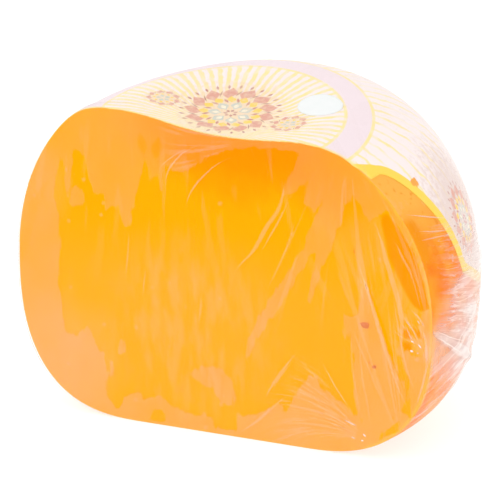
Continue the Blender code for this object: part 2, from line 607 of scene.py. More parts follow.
def loose_share(tree: Tree, place: Socket) -> Socket:
    """Where the wrap has let go of the cut face.

    Args:
        tree: the material's tree.
        place: the place in space.

    Returns:
        0 where it clings, 1 where it doesn't.
    """
    cling = add(tree, "Attribute", out="Fac", attribute_name="cling")
    drawn = add(tree, "Mapping", {"Vector": place, "Scale": (1, 1, 0.3)})
    noise = add(tree, "TexNoise", {"Vector": drawn, "Scale": 1 / PATCH_PITCH, "Detail": 2.0})
    wander = add(tree, "MapRange", (noise, 0.25, 0.75, -PATCH_STRAY, PATCH_STRAY))
    lift = add(tree, "Math", (wander, cling), operation="SUBTRACT")
    return add(tree, "MapRange", (lift, -PATCH_SOFT, PATCH_SOFT), **SOFT)


@dataclass(frozen=True)
class CutPaste:
    """Hard fatty cheese paste behind a wire cut: smooth, a little see-through, faint drag lines."""

    pressed: str = "#FAAB04"  # amber where the wrap wets it
    open: str = "#FAA615"  # paler and drier where there is air under the wrap
    deep: str = "#FB9200"  # painted shade under the middle of the top, and the deeper paste in the groove by the right edge
    top_shade_middle: float = 8 * MM  # where the painted shade under the top is strongest, across
    top_shade_half: float = 74 * MM
    top_shade_height: float = 37 * MM  # how far down from the top it reaches
    edge: str = "#FFB820"
    roughness: float = 0.45
    ior: float = 1.06  # the film wets the fat, so little shines back
    mottle: float = 14 * MM  # usual size of the lighter clouds in the paste
    drag: float = 1.6 * MM  # between two lines that the wire drew
    edge_width: float = 1.2 * MM  # of the thin lighter edge that light passes through

    def shade_and_groove_share(self, tree: Tree, place: Socket, from_edge: Socket) -> Socket:
        """How much deeper the paste is: painted shade in a band under the top, and the groove's deeper
        colour.

        Args:
            tree: the material's tree.
            place: the place in space.
            from_edge: how far it lies from the cut's edge.

        Returns:
            The share of the deeper colour, 0 to 1.
        """
        split = add(tree, "SeparateXYZ", (place,)).node.outputs
        clouds = add(tree, "TexNoise", {"Vector": place, "Scale": 1 / self.mottle, "Detail": 3.0})
        wander = add(tree, "MapRange", (clouds, 0.3, 0.7, -4 * MM, 4 * MM))
        shifted = add(tree, "Math", (from_edge, wander), operation="ADD")
        under = add(tree, "MapRange", (shifted, -self.top_shade_height, -7 * MM), **SOFT)
        away = off_middle(tree, split["X"], self.top_shade_middle)
        beside = add(tree, "MapRange", (away, self.top_shade_half, 0.2 * self.top_shade_half), **SOFT)
        high = add(tree, "MapRange", (split["Z"], 80 * MM, 98 * MM), **SOFT)
        band = under
        for share in (beside, high):
            band = add(tree, "Math", (band, share), operation="MULTIPLY")
        groove = add(tree, "Attribute", out="Fac", attribute_name="groove")
        inside = add(tree, "MapRange", (groove, *GROOVE_SOFT, 0.0, 0.8), **SOFT)
        return add(tree, "Math", (band, inside), operation="MAXIMUM")

    def material(self) -> bpy.types.Material:
        """Deep orange with painted shade under the top; it glows a little at its thin edge.

        Returns:
            The material.
        """
        made, tree, shader = new_material("cheese_paste")
        place = add(tree, "TexCoord", out="Object")
        loose = loose_share(tree, place)
        paste = add(tree, "Mix", {0: loose, 6: colour(self.pressed), 7: colour(self.open)}, **MIX)
        from_edge = add(tree, "Attribute", out="Fac", attribute_name="from_edge")
        # painted shade under the top, and the groove's deeper colour
        deep = self.shade_and_groove_share(tree, place, from_edge)
        paste = add(tree, "Mix", {0: deep, 6: paste, 7: colour(self.deep)}, **MIX)
        across = add(tree, "SeparateXYZ", (place,))
        right = add(tree, "MapRange", (across, 58 * MM, 68 * MM), **SOFT)
        uneven = add(tree, "TexNoise", {"Vector": place, "Scale": 1 / (5 * MM), "Detail": 3.0})
        begin = add(tree, "MapRange", (uneven, 0.3, 0.7, -2 * self.edge_width, -0.3 * self.edge_width))
        glow = add(tree, "MapRange", (from_edge, begin, 0.0), **SOFT)
        glow = add(tree, "Math", (glow, right), operation="MULTIPLY")
        paste = add(tree, "Mix", {0: glow, 6: paste, 7: colour(self.edge)}, **MIX)
        stretched = add(tree, "Mapping", {"Vector": place, "Scale": (1, 1, 0.06)})
        lines = add(tree, "TexNoise", {"Vector": stretched, "Scale": 1 / self.drag, "Detail": 2.0})
        bump = add(tree, "Bump", {"Strength": 0.2, "Distance": 0.1 * MM, "Height": lines})
        surface(tree, shader, paste, bump, self.roughness, self.ior)
        shader["Subsurface Weight"].default_value = 0.1
        shader["Subsurface Radius"].default_value = (1.0, 0.35, 0.05)
        shader["Subsurface Scale"].default_value = 5 * MM
        return made


@dataclass(frozen=True)
class OrangeRind:
    """Thin dry rind under a matt food coating: a deeper orange, finely pitted."""

    deep: str = "#F68206"
    light: str = "#F99C1E"
    pale: str = "#FCB44A"  # paler higher up
    stain: str = "#EF9018"
    # painted light along the cut: the paste's orange seen through and reflected in the wrap's fold
    edge: str = "#FCAE18"
    ridge_shadow: str = "#F59506"  # painted shadow on the rind beside the cut, behind the wrap's ridge
    ridge_shadow_height: float = 98 * MM
    ridge_shadow_half: float = 11 * MM
    roughness: float = 0.5
    ior: float = 1.2
    mottle: float = 11 * MM
    pit: float = 0.9 * MM  # from one pit to the next
    edge_width: float = 3.5 * MM  # of the painted amber glow along the cut

    def material(self) -> bpy.types.Material:
        """Uneven orange with small darker pits, a painted shadow beside the cut up high, and a painted
        amber glow along the cut lower down.

        Returns:
            The material.
        """
        made, tree, shader = new_material("cheese_rind")
        place = add(tree, "TexCoord", out="Object")
        clouds = add(tree, "TexNoise", {"Vector": place, "Scale": 1 / self.mottle, "Detail": 4.0})
        share = add(tree, "MapRange", (clouds, 0.38, 0.64), **SOFT)
        up = add(tree, "SeparateXYZ", (place,), out="Z")
        high = add(tree, "MapRange", (up, 90 * MM, 116 * MM), **SOFT)
        rind = add(tree, "Mix", {0: share, 6: colour(self.deep), 7: colour(self.light)}, **MIX)
        rind = add(tree, "Mix", {0: high, 6: rind, 7: colour(self.pale)}, **MIX)
        pits = add(tree, "TexVoronoi", {"Vector": place, "Scale": 1 / self.pit}, out="Distance")
        spots = add(tree, "TexNoise", {"Vector": place, "Scale": 0.3 / self.pit, "Detail": 2.0})
        stains = add(tree, "MapRange", (spots, 0.6, 0.7, 0, 0.6), **SOFT)
        rind = add(tree, "Mix", {0: stains, 6: rind, 7: colour(self.stain)}, **MIX)
        from_edge = add(tree, "Attribute", out="Fac", attribute_name="from_edge")
        along = add(tree, "Mapping", {"Vector": place, "Scale": (0.25, 1, 0.25)})
        streaks = add(tree, "TexNoise", {"Vector": along, "Scale": 1 / (1.5 * MM), "Detail": 2.0})
        shifted = add(tree, "Math", (streaks, 4 * MM, from_edge), operation="MULTIPLY_ADD")
        glow = add(tree, "MapRange", (shifted, self.edge_width + 2 * MM, 3 * MM), **SOFT)
        # painted shadow on the rind beside the cut, about 98 mm up
        away = off_middle(tree, up, self.ridge_shadow_height)
        level = add(tree, "MapRange", (away, self.ridge_shadow_half, 0.6 * self.ridge_shadow_half), **SOFT)
        beside = add(tree, "MapRange", (shifted, 10 * MM, 6 * MM), **SOFT)
        ridge_shadow = add(tree, "Math", (level, beside), operation="MULTIPLY")
        rind = add(tree, "Mix", {0: ridge_shadow, 6: rind, 7: colour(self.ridge_shadow)}, **MIX)
        # the painted glow is kept low on the cut, below about 60 mm
        below = add(tree, "MapRange", (up, 63 * MM, 57 * MM, 0.1, 1.0), **SOFT)
        glow = add(tree, "Math", (glow, below), operation="MULTIPLY")
        rind = add(tree, "Mix", {0: glow, 6: rind, 7: colour(self.edge)}, **MIX)
        bump = add(tree, "Bump", {"Strength": 0.35, "Distance": 0.15 * MM, "Height": pits})
        surface(tree, shader, rind, bump, self.roughness, self.ior)
        return made


@dataclass(frozen=True)
class Wreath:
    """One wreath of a printed ornament: leaves or fine strokes, evenly round its middle."""

    count: int
    slant: float  # turns of the leaves from the ornament's middle to its rim
    middle: float  # as a share of the ornament's radius
    half: float
    width: float  # half the width, as a share of the room that a leaf has
    ink: str


GRAND = (
    Wreath(26, 0.5, 0.91, 0.09, 0.14, "#C9897C"),
    Wreath(13, 0.9, 0.70, 0.21, 0.45, "#E5A48F"),
    Wreath(13, 1.6, 0.70, 0.16, 0.07, "#B8766A"),
    Wreath(13, -0.5, 0.50, 0.13, 0.38, "#FFD858"),
    Wreath(13, -1.5, 0.46, 0.11, 0.16, "#D08B7A"),
    Wreath(7, 0.0, 0.29, 0.17, 0.44, "#D2D3C6"),
    Wreath(7, 0.0, 0.27, 0.10, 0.22, "#FFF3D8"),
    Wreath(7, 0.0, 0.09, 0.06, 0.42, "#C9897C"),
)
SMALL = (
    Wreath(9, 0.7, 0.76, 0.22, 0.38, "#E5A48F"),
    Wreath(9, 1.3, 0.74, 0.18, 0.07, "#B8766A"),
    Wreath(9, -0.5, 0.48, 0.14, 0.30, "#FFD858"),
    Wreath(5, 0.0, 0.24, 0.20, 0.42, "#D2D3C6"),
)


@dataclass(frozen=True)
class Rosette:
    """A printed round ornament of wreaths, in watery inks."""

    centre: tuple[float, float]  # on the label laid flat, from the middle of its ring
    radius: float
    wreaths: tuple[Wreath, ...]
    ground: str = "#F6D9B8"  # the wash behind it
    spread: float = 1.0  # how far the wash reaches, as a share of the radius

    def print_on(self, tree: Tree, flat: Socket, wash: Socket, ground: Socket) -> Socket:
        """Adds the ornament over what is printed already.

        Args:
            tree: the label's tree.
            flat: the place on the label laid flat.
            wash: how strongly the ink took at each place.
            ground: the colour that is there already.

        Returns:
            The colour with the ornament on it.
        """
        local = add(tree, "VectorMath", (flat, (*self.centre, 0)), operation="SUBTRACT")
        out = add(tree, "VectorMath", (local,), out="Value", operation="LENGTH")
        split = add(tree, "SeparateXYZ", (local,)).node.outputs
        angle = add(tree, "Math", (split["Y"], split["X"]), operation="ARCTAN2")
        share = add(tree, "Math", (out, self.radius), operation="DIVIDE")
        washed = add(tree, "Math", (wash, 0.9 * self.spread, share), operation="MULTIPLY_ADD")
        washed = add(tree, "MapRange", (washed, 2 * self.spread, 1.3 * self.spread, 0.0, 0.75), **SOFT)
        ground = add(tree, "Mix", {0: washed, 6: ground, 7: colour(self.ground)}, **MIX)
        for wreath in self.wreaths:
            turned = add(tree, "Math", (share, wreath.slant, 0.25), operation="MULTIPLY_ADD")
            phase = add(tree, "Math", (angle, wreath.count / math.tau, turned), operation="MULTIPLY_ADD")
            beside = add(tree, "Math", (phase, 0.5), operation="PINGPONG")
            away = off_middle(tree, share, wreath.middle)
            leaf = add(tree, "MapRange", (away, wreath.half, 0.0, 0.0, wreath.width), **SOFT)
            inside = add(tree, "Math", (leaf, beside), operation="SUBTRACT")
            mask = add(tree, "MapRange", (inside, 0.0, 0.05), **SOFT)
            mask = add(tree, "Math", (mask, wash), operation="MULTIPLY")
            ground = add(tree, "Mix", {0: mask, 6: ground, 7: colour(wreath.ink)}, **MIX)
        return ground


@dataclass(frozen=True)
class PrintedPaper:
    """Thin coated label paper, printed in watery colours: sun rays, a ring, a border, rosettes."""

    paper: str = "#FBEDEA"
    ray: str = "#FFE8A0"
    band: str = "#F5E3E7"
    border: str = "#FFD84A"
    glow: str = "#FFE36A"  # the cheese's colour, which shines into the paper along the cut
    rays: int = 72
    ring: tuple[float, float] = (52.5 * MM, 63.5 * MM)
    ring_line: float = 1.4 * MM
    border_width: float = 5 * MM
    glow_width: float = 2.4 * MM
    tear: tuple[float, float] = (89 * MM, 7.5 * MM)  # a small tear that shows the rind
    rind: str = "#F9A83A"
    roughness: float = 0.42
    fibre: float = 0.5 * MM  # real fibres are finer; these still show in the picture
    rosettes: tuple[Rosette, ...] = (
        Rosette((-2 * MM, 13 * MM), 23 * MM, GRAND),
        Rosette((-32 * MM, 10 * MM), 8 * MM, SMALL),
        Rosette((27 * MM, 8 * MM), 8.5 * MM, SMALL),
        Rosette((116 * MM, 37.5 * MM), 17.5 * MM, GRAND, "#E6CDC3", 1.9),
        Rosette((-80 * MM, 73 * MM), 17 * MM, GRAND),
    )

    def rays_at(self, tree: Tree, flat: Socket, radius: Socket) -> Socket:
        """How much of a yellow ray each place has: wide rays inside the ring, thin ones outside.

        Args:
            tree: the label's tree.
            flat: the place on the label laid flat.
            radius: how far it lies from the middle of the ring.

        Returns:
            The strength of the ink, 0 to 1.
        """
        split = add(tree, "SeparateXYZ", (flat,)).node.outputs
        angle = add(tree, "Math", (split["Y"], split["X"]), operation="ARCTAN2")
        wash = add(tree, "TexNoise", {"Vector": flat, "Scale": 1 / (6 * MM), "Detail": 3.0})
        wander = add(tree, "MapRange", (wash, 0.3, 0.7, -0.12, 0.12))
        phase = add(tree, "Math", (angle, self.rays / math.tau, wander), operation="MULTIPLY_ADD")
        beside = add(tree, "Math", (phase, 0.5), operation="PINGPONG")
        inner = add(tree, "MapRange", (radius, 8 * MM, self.ring[0], 0.42, 0.22))
        outer = add(tree, "MapRange", (radius, self.ring[1], 110 * MM, 0.13, 0.05))
        beyond = add(tree, "Math", (radius, self.ring[1]), operation="GREATER_THAN")
        width = add(tree, "Mix", {0: beyond, 2: inner, 3: outer}, data_type="FLOAT")
        margin = add(tree, "Math", (width, beside), operation="SUBTRACT")
        drawn = add(tree, "MapRange", (margin, -0.06, 0.07), **SOFT)
        broad = add(tree, "TexNoise", {"Vector": flat, "Scale": 1 / (17 * MM), "Detail": 3.0})
        faint = add(tree, "MapRange", (broad, 0.42, 0.56, 0.25, 1.0), **SOFT)
        fuller = add(tree, "MapRange", (wash, 0.36, 0.6, 0.6, 1.0), **SOFT)
        strength = add(tree, "Mix", {0: beyond, 2: fuller, 3: faint}, data_type="FLOAT")
        return add(tree, "Math", (drawn, strength), operation="MULTIPLY")

    def material(self) -> bpy.types.Material:
        """Pale paper with its print, slightly fibrous, warm where the cheese shines through.

        Returns:
            The material.
        """
        made, tree, shader = new_material("label_paper")
        flat = add(tree, "UVMap", uv_map="flat")
        radius = add(tree, "VectorMath", (flat,), out="Value", operation="LENGTH")
        rays = self.rays_at(tree, flat, radius)
        middle = sum(self.ring) / 2
        half = (self.ring[1] - self.ring[0]) / 2
        away = off_middle(tree, radius, middle)
        line = add(tree, "MapRange", (away, half + self.ring_line, half + 0.7 * self.ring_line), **SOFT)
        cloud = add(tree, "TexNoise", {"Vector": flat, "Scale": 1 / (12 * MM), "Detail": 2.0})
        watery = add(tree, "MapRange", (cloud, 0.38, 0.6, 0.45, 1.0), **SOFT)
        line = add(tree, "Math", (line, watery), operation="MULTIPLY")
        band = add(tree, "MapRange", (away, half, half - 0.3 * self.ring_line), **SOFT)
        ink = colour(self.paper)
        for share, code in ((rays, self.ray), (line, self.ray), (band, self.band)):
            ink = add(tree, "Mix", {0: share, 6: ink, 7: colour(code)}, **MIX)
        grain = add(tree, "TexNoise", {"Vector": flat, "Scale": 1 / (2.5 * MM), "Detail": 3.0})
        wash = add(tree, "MapRange", (grain, 0.32, 0.6, 0.55, 1.0), **SOFT)
        for rosette in self.rosettes:
            ink = rosette.print_on(tree, flat, wash, ink)
        from_rim = add(tree, "Attribute", out="Fac", attribute_name="from_rim")
        from_cut = add(tree, "Attribute", out="Fac", attribute_name="from_cut")
        wider = add(tree, "MapRange", (from_cut, 9 * MM, 1 * MM, self.border_width, 2 * self.border_width))
        rim_share = add(tree, "Math", (from_rim, wider), operation="DIVIDE")
        border = add(tree, "MapRange", (rim_share, 1.0, 0.9), **SOFT)
        torn = add(tree, "VectorMath", (flat, (*self.tear, 0)), out="Value", operation="DISTANCE")
        ragged = add(tree, "Math", (wash, -2.5 * MM, torn), operation="MULTIPLY_ADD")
        hole = add(tree, "MapRange", (ragged, 0.25 * MM, -0.25 * MM), **SOFT)
        glow = add(tree, "MapRange", (from_cut, self.glow_width, 0.0, 0.0, 0.85), **SOFT)
        for share, code in ((border, self.border), (hole, self.rind), (glow, self.glow)):
            ink = add(tree, "Mix", {0: share, 6: ink, 7: colour(code)}, **MIX)
        place = add(tree, "TexCoord", out="Object")
        fibres = add(tree, "TexNoise", {"Vector": place, "Scale": 1 / self.fibre, "Detail": 3.0})
        bump = add(tree, "Bump", {"Strength": 0.15, "Distance": 0.05 * MM, "Height": fibres})
        surface(tree, shader, ink, bump, self.roughness)
        return made


@dataclass(frozen=True)
class StickerPaper:
    """White adhesive paper with a smooth coating: plain and clean, a little glossy."""

    white: str = "#F7F8F7"
    shade: str = "#EDF1F0"
    roughness: float = 0.35

    def material(self) -> bpy.types.Material:
        """White with the faintest clouding.

        Returns:
            The material.
        """
        made, tree, shader = new_material("sticker_paper")
        place = add(tree, "TexCoord", out="Object")
        clouds = add(tree, "TexNoise", {"Vector": place, "Scale": 1 / (5 * MM), "Detail": 2.0})
        white = add(tree, "Mix", {0: clouds, 6: colour(self.white), 7: colour(self.shade)}, **MIX)
        grain = add(tree, "TexNoise", {"Vector": place, "Scale": 1 / (0.4 * MM), "Detail": 2.0})
        bump = add(tree, "Bump", {"Strength": 0.1, "Distance": 0.03 * MM, "Height": grain})
        surface(tree, shader, white, bump, self.roughness)
        return made


@dataclass(frozen=True)
class DryRindCrumb:
    """Scraps of dry rind that the knife dragged over the cut: dull orange-brown."""

    dark: str = "#DA6600"
    light: str = "#F08414"
    roughness: float = 0.7
    ior: float = 1.05

    def material(self) -> bpy.types.Material:
        """Orange-brown, uneven, without gloss under the film.

        Returns:
            The material.
        """
        made, tree, shader = new_material("dry_rind_crumb")
        place = add(tree, "TexCoord", out="Object")
        grain = add(tree, "TexNoise", {"Vector": place, "Scale": 1 / (0.8 * MM), "Detail": 2.0})
        brown = add(tree, "Mix", {0: grain, 6: colour(self.dark), 7: colour(self.light)}, **MIX)
        surface(tree, shader, brown, None, self.roughness, self.ior)
        return made


# ---- Creases of the wrap ---------------------------------------------------------------------


@dataclass(frozen=True)
class Fan:
    """Fine creases that spread from one place of the wrap, as where it was pulled or pinched."""

    side: Side
    focus: tuple[float, float, float]  # mm
    toward: tuple[float, float, float]  # the middle of the fan
    half_angle: float  # degrees
    reach: tuple[float, float]  # mm from the focus
    creases: float  # how many there would be in a full turn
    cover: float  # share of the fan that is creased, 0 to 1
    haze: float
    rise: float = 0.3  # mm
    length: float = 40.0  # mm, of a usual crease
    curl: float = 0.0  # turns for each metre outwards
    thin: bool = False  # sharp lines instead of soft ridges

    def lines(self, tree: Tree, place: Socket, facing: Socket) -> Socket:
        """How creased the wrap is at each place, 0 to 1.

        Args:
            tree: the shader or geometry tree.
            place: the place in space.
            facing: the way the cheese faces there.

        Returns:
            The strength of the creases.
        """
        toward = Vector(self.toward).normalized()
        beside = Vector(self.side.value).cross(toward)
        focus = tuple(part * MM for part in self.focus)
        local = add(tree, "VectorMath", (place, focus), operation="SUBTRACT")
        ahead = add(tree, "VectorMath", (local, tuple(toward)), out="Value", operation="DOT_PRODUCT")
        aside = add(tree, "VectorMath", (local, tuple(beside)), out="Value", operation="DOT_PRODUCT")
        plane = add(tree, "CombineXYZ", (ahead, aside, 0.0))
        out = add(tree, "VectorMath", (plane,), out="Value", operation="LENGTH")
        angle = add(tree, "Math", (aside, ahead), operation="ARCTAN2")
        curled = add(tree, "Math", (out, self.curl * math.tau, angle), operation="MULTIPLY_ADD")
        turned = add(tree, "Math", (curled, self.creases / math.tau), operation="MULTIPLY")
        run = add(tree, "Math", (out, self.length * MM), operation="DIVIDE")
        spot = add(tree, "CombineXYZ", (turned, run, self.creases * 0.37 + self.reach[1]))
        noise = add(tree, "TexNoise", {"Vector": spot, "Scale": 1.0, "Detail": 1.5})
        bar = 0.66 - 0.32 * self.cover  # the noise seldom leaves the range from 0.34 to 0.66
        start, full = bar, bar + 0.1
        if self.thin:
            noise = off_middle(tree, noise, bar)
            start, full = 0.022, 0.006  # away from the bar, to either side
        line = add(tree, "MapRange", (noise, start, full), **SOFT)
        wide = math.radians(self.half_angle)
        turn = add(tree, "Math", (angle,), operation="ABSOLUTE")
        near, far = (part * MM for part in self.reach)
        within = (
            add(tree, "MapRange", (turn, wide, wide * 0.75), **SOFT),
            add(tree, "MapRange", (out, far, far * 0.6), **SOFT),
            add(tree, "MapRange", (out, near * 0.97, near * 1.03 + 2 * MM), **SOFT),
            side_share(tree, facing, self.side),
        )
        for share in within:
            line = add(tree, "Math", (line, share), operation="MULTIPLY")
        return line


@dataclass(frozen=True)
class Fold:
    """One long fold of the wrap, along a route on a side of the cheese."""

    route: tuple[tuple[float, float], ...]  # mm: along the side, and across it
    width: float  # mm, at its widest
    haze: float
    rise: float = 0.4  # mm
    soft: float = 0.5  # mm, of its edges
    side: Side = Side.FRONT

    def lines(self, tree: Tree, place: Socket, facing: Socket) -> Socket:
        """How much of this fold there is at each place, 0 to 1.

        Args:
            tree: the shader or geometry tree.
            place: the place in space.
            facing: the way the cheese faces there.

        Returns:
            The strength of the fold.
        """
        first, last = self.route[0][0], self.route[-1][0]
        across = [point[1] for point in self.route]
        low, high = min(across) - 1, max(across) + 1
        along = add(tree, "VectorMath", (place, self.side.along), out="Value", operation="DOT_PRODUCT")
        beside = add(tree, "VectorMath", (place, self.side.across), out="Value", operation="DOT_PRODUCT")
        share = add(tree, "MapRange", (along, first * MM, last * MM))
        middle = add(tree, "FloatCurve", (1.0, share))
        curve = middle.node.mapping.curves[0]
        for index, (at, height) in enumerate(self.route):
            x, y = (at - first) / (last - first), (height - low) / (high - low)
            if index in (0, len(self.route) - 1):
                curve.points[0 if index == 0 else -1].location = (x, y)
            else:
                curve.points.new(x, y)
        middle.node.mapping.update()
        line = add(tree, "MapRange", (middle, 0.0, 1.0, low * MM, high * MM))
        away = off_middle(tree, beside, line)
        turn = add(tree, "Math", (share, math.pi), operation="MULTIPLY")
        taper = add(tree, "Math", (turn,), operation="SINE")
        reach = add(tree, "Math", (taper, self.width / 2 * MM), operation="MULTIPLY")
        inside = add(tree, "Math", (reach, away), operation="SUBTRACT")
        soft = min(self.soft, 0.3 * self.width) * MM
        fold = add(tree, "MapRange", (inside, 0.0, soft), **SOFT)
        return add(tree, "Math", (fold, side_share(tree, facing, self.side)), operation="MULTIPLY")


def side_share(tree: Tree, facing: Socket, side: Side) -> Socket:
    """How fully each place belongs to a side, by the way it faces: 0 to 1."""
    toward = add(tree, "VectorMath", (facing, side.value), out="Value", operation="DOT_PRODUCT")
    return add(tree, "MapRange", (toward, 0.35, 0.75), **SOFT)


@dataclass(frozen=True)
class Patch:
    """A patch of the cut face, on which the wrap clings or from which it has let go."""

    outline: tuple[tuple[float, float], ...]  # mm across and up
    clings: bool = True

    def inside(self, across: Array, up: Array) -> Array:
        """How far inside the patch each place lies.

        Args:
            across: how far each place is to the right, in metres.
            up: how high it is.

        Returns:
            Metres from the outline, less than 0 outside it.
        """
        corners = np.array(self.outline) * MM
        after = np.roll(corners, -1, axis=0)
        nearest = np.full(len(across), np.inf)
        crossed = np.zeros(len(across), bool)
        for (x, z), (x_after, z_after) in zip(corners, after):
            run = np.array([x_after - x, z_after - z])
            share = ((across - x) * run[0] + (up - z) * run[1]) / (run @ run)
            share = np.clip(share, 0, 1)
            nearest = np.minimum(nearest, np.hypot(across - x - share * run[0], up - z - share * run[1]))
            beside = (z > up) != (z_after > up)
            if z_after != z:
                crossed ^= beside & (across < x + run[0] * (up - z) / run[1])
        return np.where(crossed, nearest, -nearest)


PATCHES = (
    Patch((
        (-56, 10), (-56, 18), (-57, 29), (-61, 33), (-62, 38), (-65, 41), (-67, 39), (-69, 36),
        (-72, 35), (-76, 37), (-77, 48), (-78, 60), (-77, 75), (-77, 89), (-80, 98), (-78, 108),
        (-76, 117), (-75, 116), (-74, 102), (-73, 98), (-72, 107), (-69, 121), (-65, 118),
        (-63, 107), (-60, 101), (-57, 104), (-55, 95), (-51, 97), (-49, 98), (-47, 90), (-44, 86),
        (-43, 95), (-40, 106), (-36, 120), (-34, 110), (-31, 115), (-29, 107), (-27, 118),
        (-20, 116), (-15, 118), (-8, 124), (0, 128), (12, 131), (26, 132), (35, 131), (29, 118),
        (27, 112), (32, 114), (38, 120), (37, 110), (41, 106), (46, 113), (56, 112), (58, 116),
        (61, 112), (66, 106), (70, 109), (74, 112), (80, 102), (86, 88), (90, 74), (90, 64),
        (82, 62), (79, 50), (84, 40), (85, 22), (79, 24), (70, 8), (62, 18), (60, 19), (53, 24),
        (48, 27), (44, 29), (43, 34), (39, 33), (34, 26), (31, 19), (26, 13), (27, 20), (21, 15),
        (15, 12), (6, 10), (5, 3), (-4, 3), (-6, 7), (-13, 8), (-16, 7), (-22, 9), (-31, 13),
        (-38, 11), (-41, 14), (-47, 11), (-50, 5), (-53, 6),
    )),
    Patch(((-34, 6), (-28, 7), (-28, 2), (-35, 2))),
    Patch(((70, 9), (75, 15), (80, 19), (79, 14))),
    Patch(((80, 63), (84, 64), (92, 56), (90, 48), (84, 50), (81, 57))),
    Patch(((-72, 102), (-69, 104), (-66, 102), (-65, 97), (-68, 94), (-72, 96)), clings=False),
    Patch((
        (-17, 26), (-10, 30), (-4, 31), (4, 26), (5, 21), (4, 14), (-1, 14), (-5, 21), (-10, 22),
    ), clings=False),
    Patch((
        (64, 80), (61, 68), (61, 63), (55, 63), (55, 51), (58, 57), (59, 45), (60, 25), (62, 18),
        (70, 8), (79, 22), (84, 31), (79, 42), (74, 52), (70, 62), (67, 72),
    ), clings=False),
    Patch((
        (46, 115), (39, 98), (36, 89), (29, 78), (22, 66), (16, 56), (11, 46), (10, 37), (12, 38),
        (15, 46), (20, 55), (27, 64), (33, 76), (39, 87), (42, 89), (41, 80), (38, 67), (40, 66),
        (44, 80), (49, 93), (54, 106), (54, 114),
    ), clings=False),
    Patch(((-49, 37), (-47, 37), (-47, 31), (-50, 30)), clings=False),
    Patch(((-54, 26), (-53, 26), (-52, 18), (-54, 19)), clings=False),
)

GROOVES = (
    Patch((
        (70.7, 109), (73.7, 109.7), (79.5, 103), (85, 95.4), (90.6, 81), (92.8, 71), (89.5, 69),
        (85.4, 71), (82.6, 75), (77.2, 85), (74, 91.4), (73, 97), (70.7, 105),
    )),
    Patch(((80.4, 61.4), (84.2, 60.2), (85.3, 55.8), (81.4, 56.2))),
    Patch(((85.7, 61.8), (89.2, 60.4), (90.6, 56.6), (87.1, 57.5))),
    Patch(((80.5, 55.1), (85.3, 54.5), (84.9, 50.5), (81.4, 51.2))),
)

